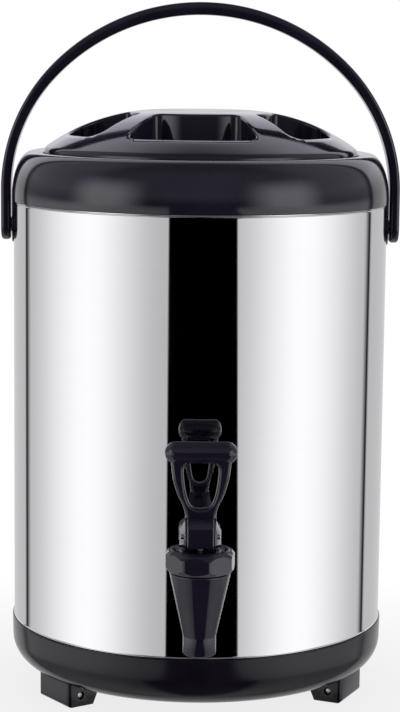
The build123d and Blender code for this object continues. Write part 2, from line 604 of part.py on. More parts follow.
# Tap body about its own upright axis: spout, cone, chamber and neck, with the shank to the rear
at_tap = Pos(0, TAP_Y, 0)
cone_low = SPOUT_Z + SPOUT_TALL
tap_body = spun(outline(
    (0, SPOUT_Z), (SPOUT_R, SPOUT_Z), (SPOUT_R, cone_low), (CONE_TOP_R, CONE_Z), (NECK_OUT, CONE_Z),
    (NECK_OUT, NECK_Z), (0, NECK_Z)))
shank_end = -TAP_Y - POT_R + SHANK_TAIL
flange_y = TAP_REACH - WASHER
tap_body += rod_y(SHANK_R, 0, shank_end, SHANK_Z)
tap_body += rod_y(FLANGE_R, flange_y - FLANGE_THICK, flange_y, SHANK_Z)
tap_body -= drum(SPOUT_BORE, 0, TAP_SEAT - SEAT_THICK)
tap_body -= drum(SEAT_BORE, 0, TAP_SEAT + 1)
tap_body -= drum(CHAMBER_R, TAP_SEAT, NECK_Z + 1)
tap_body -= rod_y(SHANK_BORE, 0, shank_end + 1, SHANK_Z)
tap_body = at_tap * tap_body

# Washers shaped to the curved walls, and the nut inside the pot
ring_hole = rod_y(SHANK_R + FIT, TAP_Y, 0, SHANK_Z)
tap_washer_outer = rod_y(WASHER_R, TAP_Y + flange_y, -BODY_R / 2, SHANK_Z) - drum(BODY_R, 0, SHELL_HIGH)
tap_washer_outer -= ring_hole
washer_face = -POT_R + WASHER
tap_washer_inner = (rod_y(WASHER_R, TAP_Y, washer_face, SHANK_Z) & drum(POT_R, 0, SHELL_HIGH)) - ring_hole
nut_blank = extrude(RegularPolygon(NUT_R, 6), NUT_THICK)
tap_nut = Pos(0, washer_face, SHANK_Z) * Rot(-90, 0, 0) * nut_blank - ring_hole

# Bonnet: barrel-sided cap with a dished top, screwed over the neck
bonnet_low = CONE_Z + FIT
bonnet_high = bonnet_low + BONNET_TALL
rim_in = BONNET_END_R - BONNET_RIM
side_arc = ThreePointArc(
    (BONNET_END_R, bonnet_low), (BONNET_R, (bonnet_low + bonnet_high) / 2), (BONNET_END_R, bonnet_high))
bonnet_rest = Polyline(
    (BONNET_END_R, bonnet_high), (rim_in, bonnet_high), (rim_in, PLATE_Z), (0, PLATE_Z), (0, bonnet_low),
    (BONNET_END_R, bonnet_low))
tap_bonnet = spun(make_face(side_arc + bonnet_rest))
tap_bonnet -= drum(NECK_OUT + FIT, 0, PLATE_LOW)
tap_bonnet -= drum(STEM_R + PIN_RUN, 0, PLATE_Z + 1)
tap_bonnet = at_tap * tap_bonnet
bonnet_gasket = at_tap * tube(NECK_OUT - FIT, STEM_R + RUN, NECK_Z, PLATE_LOW)

# Valve: seal on the seat, stem with spring collar and eye, spring up to the bonnet's gasket
valve_seal = drum(SEAL_R, TAP_SEAT, TAP_SEAT + SEAL_TALL)
valve_seal = chamfer(valve_seal.edges().group_by(Axis.Z)[0], SEAL_R - SEAT_BORE - 1.5)
valve_seal -= drum(STEM_R + FIT, TAP_SEAT + SEAL_TALL - SOCKET - FIT, TAP_SEAT + SEAL_TALL + 1)
valve_seal = at_tap * valve_seal
stem_low = TAP_SEAT + SEAL_TALL - SOCKET
collar_top = TAP_SEAT + SEAL_TALL + STEM_COLLAR
valve_stem = drum(STEM_R, stem_low, PIN_Z) + drum(STEM_COLLAR_R, TAP_SEAT + SEAL_TALL, collar_top)
valve_stem += rod_x(EYE_R, -EYE_WIDE / 2, EYE_WIDE / 2, PIN_Z)
valve_stem -= rod_x(PIN_R, -EYE_WIDE, EYE_WIDE, PIN_Z)
valve_stem = at_tap * valve_stem
lever_pin = at_tap * rod_x(PIN_R, -CHEEK_WIDE / 2 + 1, CHEEK_WIDE / 2 - 1, PIN_Z)
coil_low = collar_top + WIRE_R + FIT
coil_tall = NECK_Z - WIRE_R - FIT - coil_low
coil_path = Helix(coil_tall / COIL_TURNS, coil_tall, COIL_R)
wire = Plane(coil_path @ 0, z_dir=coil_path % 0) * Circle(WIRE_R)
valve_spring = at_tap * Pos(0, 0, coil_low) * sweep(wire, coil_path, is_frenet=True)


def cam_point(tilt):
    """Point of the cam foot under the pin at a tilt, so that the pin's rise follows the tilt evenly."""
    angle = radians(tilt)
    reach = PIN_LIFT - CAM_GAP + CAM_RATE * angle
    return (-reach * sin(angle) - CAM_RATE * cos(angle), -reach * cos(angle) + CAM_RATE * sin(angle))


# Lever foot, side view about the pin: flat sole, cam nose to the front, rounded back
side_plane = Plane(origin=(0, TAP_Y, PIN_Z), x_dir=(0, 1, 0), z_dir=(1, 0, 0))
nose_curve = Spline([cam_point(CAM_TURN * step / 6) for step in range(7)])
nose_end = cam_point(CAM_TURN)
sole = -PIN_LIFT + CAM_GAP
nose_rest = Polyline(
    nose_end, (nose_end[0], NOSE_BEND), (-ARM_THICK / 2, LEVER_NECK), (ARM_THICK / 2, LEVER_NECK),
    (CHEEK_BACK, NOSE_BEND), (CHEEK_BACK, sole), cam_point(0))
nose = extrude(side_plane * make_face(nose_curve + nose_rest), NOSE_WIDE / 2, both=True)
cheek_face = outline(
    (CHEEK_BACK, sole), (CHEEK_BACK, CHEEK_BEND), (ARM_THICK / 2, LEVER_NECK), (-ARM_THICK / 2, LEVER_NECK),
    (-CHEEK_FRONT, CHEEK_BEND), (-CHEEK_FRONT, sole + CHEEK_BEND), (cam_point(0)[0], sole))
cheeks = extrude(side_plane * cheek_face, CHEEK_WIDE / 2, both=True)
neck_at = PIN_Z + LEVER_NECK - 1.5
cheek_top = PIN_Z + CHEEK_TOP
lean_cut = outline(
    (CHEEK_WIDE / 2, cheek_top), (CHEEK_WIDE, cheek_top), (CHEEK_WIDE, 2 * PIN_Z), (NECK_HALF, 2 * PIN_Z),
    (NECK_HALF, neck_at))
cheeks -= at_tap * both_sides(extrude(Plane.XZ * lean_cut, CHEEK_WIDE, both=True))
# Loop and grip bar above the neck, front view
grip_z = PLATE_Z + LEVER_TALL - GRIP_R
arm_edge = Spline(
    (NECK_HALF, neck_at), (ARM_WAIST, (neck_at + grip_z) / 2 - GRIP_R), (ARM_HALF, grip_z - GRIP_R - 3),
    (ARM_HALF + ARM_FLARE, grip_z), tangents=[(0, 1), (0.5, 1)])
arm_rest = Polyline(
    (ARM_HALF + ARM_FLARE, grip_z), (0, grip_z), (0, neck_at - 3), (NECK_HALF, neck_at - 3),
    (NECK_HALF, neck_at))
half_loop = make_face(arm_edge + arm_rest)
loop = extrude(Plane.XZ * half_loop, ARM_THICK / 2, both=True)
loop = fillet(loop.faces().filter_by(Plane.XZ).edges().filter_by(GeomType.BSPLINE), ARM_EDGE)
loop = both_sides(loop)
hole_top = grip_z - GRIP_R + 0.4
hole_low = PLATE_Z + EYELET_SILL
hole = outline(
    (-EYELET_TOP, hole_top), (EYELET_TOP, hole_top), (EYELET_LOW, hole_low), (-EYELET_LOW, hole_low))
hole = fillet(hole.vertices(), EYELET_CORNER)
loop -= extrude(Plane.XZ * hole, ARM_THICK, both=True)
grip_end = GRIP_WIDE / 2 - GRIP_R
grip = rod_x(GRIP_R, -grip_end, grip_end, grip_z) + both_sides(Pos(grip_end, 0, grip_z) * Sphere(GRIP_R))
tap_lever = nose + cheeks + at_tap * (loop + grip)
# Slot for the stem's eye, open below over the whole tilt
swing = radians(CAM_TURN)
rod_room = STEM_R + RUN
far = 3 * PIN_LIFT
slot_face = outline(
    (rod_room, 0), (rod_room, -far), (-far * sin(swing), -far),
    (-rod_room * cos(swing) - far * sin(swing), rod_room * sin(swing) - far * cos(swing)),
    (-rod_room * cos(swing), rod_room * sin(swing)))
slot_face += Circle(EYE_R + RUN)
tap_lever -= extrude(side_plane * slot_face, EYE_WIDE / 2 + RUN, both=True)
tap_lever -= at_tap * rod_x(PIN_R + PIN_RUN, -CHEEK_WIDE, CHEEK_WIDE, PIN_Z)

pieces = {
    "outer_shell": outer_shell, "shell_floor": shell_floor, "inner_pot": inner_pot, "body_foam": body_foam,
    "tap_sleeve": tap_sleeve, "top_collar": top_collar, "pivot_plates": pivot_plates,
    "pivot_studs": pivot_studs, "base_cup": base_cup, "base_screws": base_screws, "floor_nuts": floor_nuts,
    "foot_left": foot_left, "foot_right": foot_right, "foot_rear": foot_rear, "foot_screws": foot_screws,
    "lid_cover": lid_cover, "lid_liner": lid_liner, "lid_foam": lid_foam, "lid_gasket": lid_gasket,
    "bail_handle": bail_handle, "tap_body": tap_body, "tap_washer_outer": tap_washer_outer,
    "tap_washer_inner": tap_washer_inner, "tap_nut": tap_nut, "bonnet_gasket": bonnet_gasket,
    "tap_bonnet": tap_bonnet, "valve_stem": valve_stem, "valve_seal": valve_seal,
    "valve_spring": valve_spring, "lever_pin": lever_pin, "tap_lever": tap_lever,
}
os.makedirs("parts", exist_ok=True)
for name, piece in pieces.items():
    export_step(Pos(0, AXIS_Y, 0) * piece, f"parts/{name}.step")
    print(name, round(piece.volume / 1000, 2), "cm3")
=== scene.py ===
# %% [markdown]
# # An insulated hot water dispenser
# A mirror-polished steel barrel stands on a black bowl with three feet. A black collar holds a domed
# lid with five finger wells, a strap bail swings over it, and a lever tap pours at the front.
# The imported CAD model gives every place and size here; this script gives it its finish.

# %% Load the frame
import json
from math import atan2, cos, degrees, hypot, pi, radians, sin, sqrt, tan
import bpy
from mathutils import Matrix, Vector
from mathutils.geometry import delaunay_2d_cdt, interpolate_bezier

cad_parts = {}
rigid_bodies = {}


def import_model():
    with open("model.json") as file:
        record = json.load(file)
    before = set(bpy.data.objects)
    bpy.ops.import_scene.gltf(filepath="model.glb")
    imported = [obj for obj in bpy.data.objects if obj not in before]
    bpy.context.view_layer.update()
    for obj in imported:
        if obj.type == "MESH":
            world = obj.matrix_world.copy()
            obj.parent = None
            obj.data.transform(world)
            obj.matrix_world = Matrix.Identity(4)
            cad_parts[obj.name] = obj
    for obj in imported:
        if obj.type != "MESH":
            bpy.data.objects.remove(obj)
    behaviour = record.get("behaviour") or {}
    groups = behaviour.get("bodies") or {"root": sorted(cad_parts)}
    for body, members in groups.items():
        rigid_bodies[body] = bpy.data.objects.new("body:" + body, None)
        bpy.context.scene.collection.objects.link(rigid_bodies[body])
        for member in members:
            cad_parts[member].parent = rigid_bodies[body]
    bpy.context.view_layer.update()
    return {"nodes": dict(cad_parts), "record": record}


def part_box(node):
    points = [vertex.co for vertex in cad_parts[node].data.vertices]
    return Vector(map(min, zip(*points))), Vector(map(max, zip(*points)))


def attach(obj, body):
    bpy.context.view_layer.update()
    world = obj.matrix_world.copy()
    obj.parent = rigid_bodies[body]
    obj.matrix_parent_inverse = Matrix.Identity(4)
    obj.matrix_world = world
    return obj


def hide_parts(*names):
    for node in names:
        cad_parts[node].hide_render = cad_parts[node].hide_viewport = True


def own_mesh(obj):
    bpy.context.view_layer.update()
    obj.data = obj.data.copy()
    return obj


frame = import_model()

MM = 0.001
record = frame["record"]
nodes = frame["nodes"]

# %% [markdown]
# ## Places that the frame gives
# The barrel's axis, its radius and the main levels are read from the CAD nodes' boxes, so the dressed
# pieces sit exactly where the solids are. Lengths written in capitals below are in millimetres. What comes
# from a box, is multiplied by MM, or places the camera or the floor is in metres.

# %% Read the main places
shell_low, shell_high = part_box("outer_shell")
lid_low, lid_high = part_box("lid_cover")
bonnet_low, bonnet_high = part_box("tap_bonnet")
tap_low, tap_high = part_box("tap_body")
bail_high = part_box("bail_handle")[1]
AXIS_Y = (shell_low.y + shell_high.y) / 2
BARREL_R = (shell_high.x - shell_low.x) / 2
LAP = 3 * MM
STEEL_LOW, STEEL_HIGH = shell_low.z + LAP, shell_high.z - LAP
CREST_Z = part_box("top_collar")[1].z
TAP_Y = (bonnet_low.y + bonnet_high.y) / 2
PIVOT_Z = sum(corner.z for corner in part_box("pivot_studs")) / 2
PIN_Z = sum(corner.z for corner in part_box("lever_pin")) / 2
print(f"axis y {AXIS_Y:.4f}, barrel radius {BARREL_R:.4f}, steel {STEEL_LOW:.3f} to {STEEL_HIGH:.3f}")

# %% [markdown]
# ## Camera
# The view was fitted to the barrel's edges: a long lens a little above the lid, looking slightly down,
# with a half degree of tilt about its own line of sight.

# %% Set up the camera
LENS, SENSOR = 107.77, 36
CAMERA_PLACE = Vector((-0.0186, AXIS_Y - 1.444, 0.4344))
CAMERA_TURN, CAMERA_DIP, CAMERA_ROLL = radians(0.77), radians(8.254), radians(0.596)
camera_data = bpy.data.cameras.new("camera")
camera_data.sensor_fit = "VERTICAL"
camera_data.sensor_height = SENSOR
camera_data.lens = LENS
camera = bpy.data.objects.new("camera", camera_data)
bpy.context.scene.collection.objects.link(camera)
turn = Matrix.Rotation(-CAMERA_TURN, 4, "Z") @ Matrix.Rotation(pi / 2 - CAMERA_DIP, 4, "X")
camera.matrix_world = Matrix.Translation(CAMERA_PLACE) @ turn @ Matrix.Rotation(CAMERA_ROLL, 4, "Z")
bpy.context.scene.camera = camera
bpy.context.scene.view_settings.view_transform = "Standard"
print("camera at", [round(v, 3) for v in CAMERA_PLACE])

# %% [markdown]
# ## Shader sums in plain Python
# A material is a small sum over the surface. One class wraps a node's output, so that a line such as
# `0.2 + 0.1 * noise` adds the Math nodes by itself. Every other node comes from its method `node`, apart
# from the shader that a new material brings with it.


# %% A socket that can be added and multiplied
class Value:
    """One output socket. Sums, differences and products of values add Math nodes."""

    def __init__(self, socket):
        self.socket = socket
        self.tree = socket.id_data

    @staticmethod
    def node(tree, kind, inputs=None, output=0, **settings):
        made = tree.nodes.new("ShaderNode" + kind)
        for key, setting in settings.items():
            setattr(made, key, setting)
        for key, given in (inputs or {}).items():
            if isinstance(given, Value):
                tree.links.new(given.socket, made.inputs[key])
            else:
                made.inputs[key].default_value = given
        return Value(made.outputs[output]) if made.outputs else None

    def math(self, operation, other=0.0):
        return Value.node(self.tree, "Math", {0: self, 1: other}, operation=operation)

    def __add__(self, other):
        return self.math("ADD", other)

    def __sub__(self, other):
        return self.math("SUBTRACT", other)

    def __rsub__(self, other):
        return Value.node(self.tree, "Math", {0: other, 1: self}, operation="SUBTRACT")

    def __mul__(self, other):
        return self.math("MULTIPLY", other)

    __radd__ = __add__
    __rmul__ = __mul__

    def __abs__(self):
        return self.math("ABSOLUTE")

    def rise(self, start, end, kind="SMOOTHSTEP"):
        """0 below start, 1 above end, and a smooth or straight rise between them."""
        span = {"Value": self, "From Min": start, "From Max": end}
        return Value.node(self.tree, "MapRange", span, interpolation_type=kind)

    def fall(self, start, end):
        """1 below start, 0 above end."""
        return 1 - self.rise(start, end)


def split(vector):
    """The three parts of a vector."""
    first = Value.node(vector.tree, "SeparateXYZ", {0: vector})
    return [Value(output) for output in first.socket.node.outputs]


def blend(share, first, second):
    """Colour that goes from the first to the second with the share."""
    inputs = {"Factor": share, 6: (*first, 1), 7: (*second, 1)}
    return Value.node(share.tree, "Mix", inputs, output=2, data_type="RGBA")


def ray(tree, kind):
    """1 for rays of a kind, such as those from the camera."""
    return Value.node(tree, "LightPath", output=kind)


def either(share, first, second):
    """Shader that goes from the first to the second with the share."""
    return Value.node(share.tree, "MixShader", {0: share, 1: first, 2: second})


print("shader sums ready")

# %% [markdown]
# ## Studio
# Mirror steel shows nothing of its own, only the room. A product studio for such a barrel has two tall
# soft lights at the sides, a dark gap between them where the camera looks in, and a white wall behind.
# The world is painted that way by direction; the camera itself sees plain white. All spans are degrees:
# bearings from the front towards the right, or heights over the horizon.

# %% Sizes of the studio
GAP_MIDDLE, GAP_HALF, GAP_SOFT = 1.5, 20.8, 0.6         # the dark gap is centred a little to the right
GAP_LEAN, LEAN_SHARE, LEAN_SPAN = 4.5, 0.72, (-18, -3)  # its right edge leans outward below
GAP_LOW, LOW_SPAN = 15.0, (-26, -17)                    # and both edges open further near the floor
SIDES_MIDDLE = -3.8                                     # lights and wall are centred a little to the left
LIGHT_START, LIGHT_PEAK, LIGHT_END, LIGHT_FALL = 16, 68.0, 130.0, (122.5, 130.0)
LIGHT_EDGE, LIGHT_MORE, LIGHT_FOOT, FOOT_SPAN = 0.74, 0.82, 0.45, (-24, -16.8)
PANEL_LEVEL, PANEL_RISE, PANEL_FALL, PANEL_TOP = 1.9, (26, 52), (62, 86), (12, 36)
SIDE_LEVEL, SIDE_RISE, SIDE_TOP, HORIZON = 0.3, (55, 90), (55, 80), (-4.4, 1)
WALL_LEVEL, WALL_MORE, WALL_EDGE, WALL_RISE, WALL_TOP = 0.72, 0.65, (129.5, 133), (0, 15), (46, 84)
CEILING_LEVEL, CEILING_RISE, GROUND_LEVEL, GROUND_FALL = 0.16, (40, 66), 0.06, (-60, -25)
FRONT_LEVEL, FRONT_RISE = 0.26, (0, 12)
LOW_TONE, HIGH_TONE, TONE_SPAN = (0.985, 0.985, 1.0), (0.90, 0.875, 1.0), (0, 25)
DEGREE = 180 / pi
print("dark gap", 2 * GAP_HALF, "degrees wide, lights end at", LIGHT_END)

# %% Paint the studio into the world
world = bpy.data.worlds.new("studio")
bpy.context.scene.world = world
world.use_nodes = True
sky = world.node_tree
sky.nodes.clear()
east, north, up = split(Value.node(sky, "TexCoord", output="Generated"))
bearing = east.math("ARCTAN2", north * -1.0) * DEGREE
height = up.math("ARCSINE") * DEGREE
to_left = GAP_MIDDLE - bearing
to_right = bearing - GAP_MIDDLE - GAP_LEAN * (LEAN_SHARE - height.rise(*LEAN_SPAN, "LINEAR"))
off_gap = to_right.math("MAXIMUM", to_left) - GAP_HALF - GAP_LOW * height.fall(*LOW_SPAN)
aside = abs(bearing - SIDES_MIDDLE)

# Two tall lights at the sides, seen by the steel; above the horizon a panel on each side, seen by the collar
in_light = off_gap.rise(-GAP_SOFT, GAP_SOFT) * aside.fall(*LIGHT_FALL)
tall_light = LIGHT_EDGE + LIGHT_MORE * aside.rise(LIGHT_START, LIGHT_PEAK) * aside.fall(LIGHT_PEAK, LIGHT_END)
tall_light = tall_light * (LIGHT_FOOT + (1 - LIGHT_FOOT) * height.rise(*FOOT_SPAN))
panel = aside.rise(*PANEL_RISE) * aside.fall(*PANEL_FALL) * height.fall(*PANEL_TOP) * PANEL_LEVEL
high_light = (panel + SIDE_LEVEL * aside.rise(*SIDE_RISE)) * height.fall(*SIDE_TOP)
glow = tall_light * height.fall(*HORIZON) + high_light * height.rise(*HORIZON)
wall = aside.rise(*WALL_EDGE) * height.fall(*WALL_TOP) * (WALL_LEVEL + WALL_MORE * height.rise(*WALL_RISE))
ceiling = height.rise(*CEILING_RISE) * CEILING_LEVEL
front = height.rise(*FRONT_RISE) * height.fall(*CEILING_RISE) * aside.fall(*LIGHT_FALL) * FRONT_LEVEL
ground = height.fall(*GROUND_FALL) * GROUND_LEVEL
level = in_light * glow + wall + ceiling + front + ground
tone = blend(height.rise(*TONE_SPAN), LOW_TONE, HIGH_TONE)
room = Value.node(sky, "Background", {"Color": tone, "Strength": level})
plain = Value.node(sky, "Background", {"Color": (1, 1, 1, 1), "Strength": 1.0})
Value.node(sky, "OutputWorld", {"Surface": either(ray(sky, "Is Camera Ray"), room, plain)})
print("studio painted with", len(sky.nodes), "nodes")

# %% [markdown]
# ## Floor
# The floor is a pale disc that fades into the white around it. It takes the barrel's soft shadow, and
# mirror rays pass through it, so that the steel shows the studio down to its lower edge.

# %% Lay the floor
FLOOR_R, FLOOR_TONE, FLOOR_WHITE, WHITE_SPAN = 0.9, 0.9, 0.82, (0.12, 0.34)
bpy.ops.object.select_all(action="DESELECT")
bpy.ops.mesh.primitive_circle_add(vertices=96, radius=FLOOR_R, fill_type="NGON", location=(0, AXIS_Y, 0))
floor = bpy.context.object
floor.name = "floor"
bpy.ops.object.transform_apply(location=True)
floor_paint = bpy.data.materials.new("floor_paint")
floor_paint.use_nodes = True
tree = floor_paint.node_tree
tree.nodes.clear()
across, along, _ = split(Value.node(tree, "TexCoord", output="Object"))
along = along - AXIS_Y
away = (across * across + along * along).math("SQRT")
white_share = (FLOOR_WHITE + (1 - FLOOR_WHITE) * away.rise(*WHITE_SPAN)) * ray(tree, "Is Camera Ray")
pale = Value.node(tree, "BsdfDiffuse", {"Color": (FLOOR_TONE, FLOOR_TONE, FLOOR_TONE, 1)})
white = Value.node(tree, "Emission", {"Color": (1, 1, 1, 1), "Strength": 1.0})
clear = Value.node(tree, "BsdfTransparent")
matt = either(white_share, pale, white)
Value.node(tree, "OutputMaterial", {"Surface": either(ray(tree, "Is Glossy Ray"), matt, clear)})
floor.data.materials.append(floor_paint)
print("floor laid, radius", FLOOR_R)

# %% [markdown]
# ## Finishes
# Each finish fills one Principled shader. What changes over the surface goes to colour, roughness and
# bump; what is the same all over is set on the shader itself.


# %% Start a finish
def new_finish(name, **constants):
    """A material with a Principled shader, its constant sockets set; returns shader and place too."""
    material = bpy.data.materials.new(name)
    material.use_nodes = True
    shader = material.node_tree.nodes["Principled BSDF"]
    for key, constant in constants.items():
        shader.inputs[key.replace("_", " ")].default_value = constant
    return material, shader, Value.node(material.node_tree, "TexCoord", output="Object")


def feed(shader, **values):
    """Link values to the shader's sockets."""
    for key, value in values.items():
        value.tree.links.new(value.socket, shader.inputs[key.replace("_", " ")])


def noise(place, scale, detail=2.0, stretch=(1, 1, 1)):
    """Soft random pattern, stretched along the axes."""
    mapped = Value.node(place.tree, "Mapping", {"Vector": place, "Scale": stretch})
    return Value.node(place.tree, "TexNoise", {"Vector": mapped, "Scale": scale, "Detail": detail})


def bump(height, strength, distance):
    """Normal that follows a height; the distance is in millimetres."""
    inputs = {"Height": height, "Strength": strength, "Distance": distance * MM}
    return Value.node(height.tree, "Bump", inputs)


print("finish tools ready")

# %% [markdown]
# ### Polished steel
# Buffed sheet is a mirror with very fine lines round the barrel and a faint wave in the sheet. The long
# weld runs down the back, ground flat but still to be seen as a narrow duller line.

# %% Polished steel
SEAM_HALF = 1.6 * MM
steel, shader, place = new_finish("polished_steel", Metallic=1.0)
x, y, _ = split(place)
lines = noise(place, 900, 1.0, (0.02, 0.02, 1.0))
wave = noise(place, 9, 1.0, (1, 1, 0.25))
smears = noise(place, 26, 3.0, (1, 1, 0.6)).rise(0.45, 0.75)
seam = abs(x).fall(SEAM_HALF * 0.4, SEAM_HALF) * (y - AXIS_Y).rise(0.0, 0.05)
steel_tint = blend(0.25 * lines + 0.5 * seam, (0.640, 0.640, 0.645), (0.590, 0.588, 0.585))
feed(
    shader, Base_Color=steel_tint, Roughness=0.022 + 0.018 * smears + 0.012 * lines + 0.2 * seam,
    Normal=bump(0.02 * lines + 0.12 * wave + 0.3 * seam, 0.05, 0.5))
print("steel:", steel.name)

# %% [markdown]
# ### Black gloss plastic
# The mouldings are black with a breath of violet. A mould leaves a skin that is glossy yet never quite
# flat, so the roughness wanders a little and a very fine orange peel breaks the reflections.


# %% Black gloss plastic
def gloss_plastic(name, colour, deep, gloss, mirror):
    """Glossy moulded plastic: two close tones, wandering gloss and a fine orange peel."""
    material, shader, place = new_finish(name, IOR=1.5, Specular_IOR_Level=mirror)
    cloud = noise(place, 35, 3.0)
    peel = noise(place, 700, 1.0)
    dust = noise(place, 3200, 2.0).rise(0.68, 0.82)
    tint = blend(cloud.rise(0.35, 0.7), deep, colour)
    feed(
        shader, Base_Color=tint, Roughness=gloss + 0.05 * cloud.rise(0.4, 0.8) + 0.06 * dust,
        Normal=bump(peel, 0.035, 0.2))
    return material


black = gloss_plastic("black_gloss", (0.0180, 0.0145, 0.0270), (0.0130, 0.0104, 0.0200), 0.08, 0.56)
dull_black = gloss_plastic("dull_black", (0.0125, 0.0100, 0.0165), (0.0085, 0.0070, 0.0120), 0.17, 0.32)
print("plastics:", black.name, dull_black.name)

# %% [markdown]
# ### The finishes inside
# Satin steel with turning marks for the pot, matt black for the liner, pale silicone for the seals,
# plated steel for the small hardware and a fine-celled foam. All of them have one fine pattern that
# turns between two tones and takes gloss and relief with it.


# %% Finishes with one pattern
def grained(name, pattern, tones, rough, relief, stain=0.0, **constants):
    """Finish from a noise (scale, detail, stretch), two tones, (least, more) roughness and a bump."""
    material, shader, place = new_finish(name, **constants)
    grain = noise(place, *pattern)
    roughness = rough[0] + rough[1] * grain
    if stain:
        roughness = roughness + stain * noise(place, 18, 3.0).rise(0.4, 0.7)
    feed(
        shader, Base_Color=blend(grain, *tones), Roughness=roughness,
        Normal=bump(grain, *relief))
    return material


print("pattern finishes ready")

# %% Give each slot its finish
finishes = {
    "polished_steel": steel,
    "black_gloss": black,
    "pot_steel": grained(
        "pot_steel", (420, 2.0, (0.05, 0.05, 1.0)), ((0.56, 0.56, 0.555), (0.66, 0.66, 0.66)),
        (0.24, 0.14), (0.12, 0.1), stain=0.05, Metallic=1.0),
    "inner_plastic": grained(
        "inner_plastic", (1500, 2.0), ((0.030, 0.029, 0.034), (0.042, 0.041, 0.047)),
        (0.42, 0.12), (0.15, 0.1), IOR=1.5),
    "silicone": grained(
        "silicone", (240, 3.0), ((0.62, 0.62, 0.60), (0.72, 0.72, 0.71)), (0.48, 0.15), (0.08, 0.1),
        IOR=1.42),
    "small_steel": grained(
        "small_steel", (800, 3.0), ((0.54, 0.54, 0.55), (0.66, 0.66, 0.66)), (0.2, 0.18), (0.1, 0.05),
        Metallic=1.0),
    "foam": grained("foam", (900, 3.0), ((0.78, 0.69, 0.42), (0.88, 0.81, 0.58)), (0.9, 0.0), (0.5, 0.4))}
for part in record["subparts"]:
    cad_node = nodes[part["node"]]
    cad_node.data.materials.clear()
    cad_node.data.materials.append(finishes[part["material_slot"]])
print("finishes:", ", ".join(finishes))

# %% [markdown]
# ## Turning on the lathe
# Most of this object is round, so most pieces are turned: one vertex is extruded along the profile, and
# the line is spun about the axis. Corners of the profile are rounded first, because a real moulding
# has no sharp edge and the light runs along those small roundings.


# %% Profile with rounded corners
def arc(middle, radius, start, end, steps):
    """Points of an arc between two angles in degrees."""
    angles = [radians(start + (end - start) * k / steps) for k in range(steps + 1)]
    return [Vector((middle[0] + radius * cos(a), middle[1] + radius * sin(a))) for a in angles]


def rounded(corners, closed=True):
    """Points of a profile whose (across, up, fillet) corners, in millimetres, are turned into arcs."""
    points = []
    for index, (across, up, fillet) in enumerate(corners):
        here = Vector((across, up))
        is_end = not closed and index in (0, len(corners) - 1)
        if fillet == 0 or is_end:
            points.append(here)
            continue
        before = Vector(corners[index - 1][:2]) - here
        after = Vector(corners[(index + 1) % len(corners)][:2]) - here
        half = before.angle(after) / 2
        most = 0.95 if fillet > 10 else 0.49
        reach = min(fillet / tan(half), most * before.length, most * after.length)
        radius = reach * tan(half)
        middle = here + (before.normalized() + after.normalized()).normalized() * radius / sin(half)
        first = here + before.normalized() * reach - middle
        last = here + after.normalized() * reach - middle
        start = degrees(atan2(first.y, first.x))
        sweep = (degrees(atan2(last.y, last.x)) - start + 180) % 360 - 180
        points += arc(middle, radius, start, start + sweep, 4 if radius < 3 else 18)
    return points


print("corner of 2 mm:", len(rounded([(0, 0, 0), (10, 0, 2), (10, 10, 0)], closed=False)), "points")

# %% Take a piece in hand and put it down
WELD, MEND, DEGENERATE = 0.002 * MM, 0.02 * MM, 0.01 * MM


def put_down():
    """Leave edit mode and select nothing."""
    if bpy.context.object and bpy.context.object.mode != "OBJECT":
        bpy.ops.object.mode_set(mode="OBJECT")
    bpy.ops.object.select_all(action="DESELECT")


def take(piece, edit=False):
    """Select this piece alone, and open all of it for editing if asked."""
    put_down()
    piece.select_set(True)
    bpy.context.view_layer.objects.active = piece
    if edit:
        bpy.ops.object.mode_set(mode="EDIT")
        bpy.ops.mesh.select_all(action="SELECT")


def weld(threshold=WELD):
    """In the open piece, merge the points that lie together and turn every face outward."""
    bpy.ops.mesh.select_all(action="SELECT")
    bpy.ops.mesh.remove_doubles(threshold=threshold)
    bpy.ops.mesh.normals_make_consistent(inside=False)


def finish_piece(piece, replaced=(), angle=38, body="barrel", slot="black_gloss", finish=None):
    """Leave edit mode, shade, paint and hand the piece to its body."""
    if piece.mode == "EDIT":
        weld()
    take(piece)
    bpy.ops.object.shade_smooth_by_angle(angle=radians(angle))
    piece.data.materials.clear()
    piece.data.materials.append(finish or finishes[slot])
    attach(piece, body)
    if replaced:
        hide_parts(*replaced)
    print(piece.name, len(piece.data.polygons), "faces on", body)


# %% Pieces begin from one vertex
AXES = {"X": Vector((1, 0, 0)), "Y": Vector((0, 1, 0)), "Z": Vector((0, 0, 1))}


def begin(name):
    """An object in edit mode that holds one vertex at the origin."""
    put_down()
    bpy.ops.mesh.primitive_plane_add(size=MM, enter_editmode=True, location=(0, 0, 0))
    piece = bpy.context.object
    piece.name = piece.data.name = name
    bpy.ops.mesh.merge(type="CENTER")
    return piece


def draw(points, closed):
    """Extrude the selected vertex from the origin along points in metres."""
    bpy.ops.transform.translate(value=points[0])
    ends = points[1:] + points[:1] if closed else points[1:]
    for here, there in zip(points, ends):
        bpy.ops.mesh.extrude_region_move(TRANSFORM_OT_translate={"value": there - here})
    bpy.ops.mesh.select_linked()
    bpy.ops.mesh.remove_doubles(threshold=WELD)


def turned(name, points, middle, axis="Z", steps=160, closed=True):
    """A piece from a profile of (radius, along) points in millimetres, spun about an axis through middle."""
    piece = begin(name)
    along = AXES[axis]
    outward = AXES["Y"] if axis == "X" else AXES["X"]
    points = [Vector(point) for point in points]
    draw([middle + outward * point.x * MM + along * point.y * MM for point in points], closed)
    bpy.ops.mesh.spin(steps=steps, angle=2 * pi, center=middle, axis=along)
    weld()
    return piece


barrel_axis, tap_axis = Vector((0, AXIS_Y, 0)), Vector((0, TAP_Y, 0))
pivot_middle = Vector((0, AXIS_Y, PIVOT_Z))
print("lathe ready")

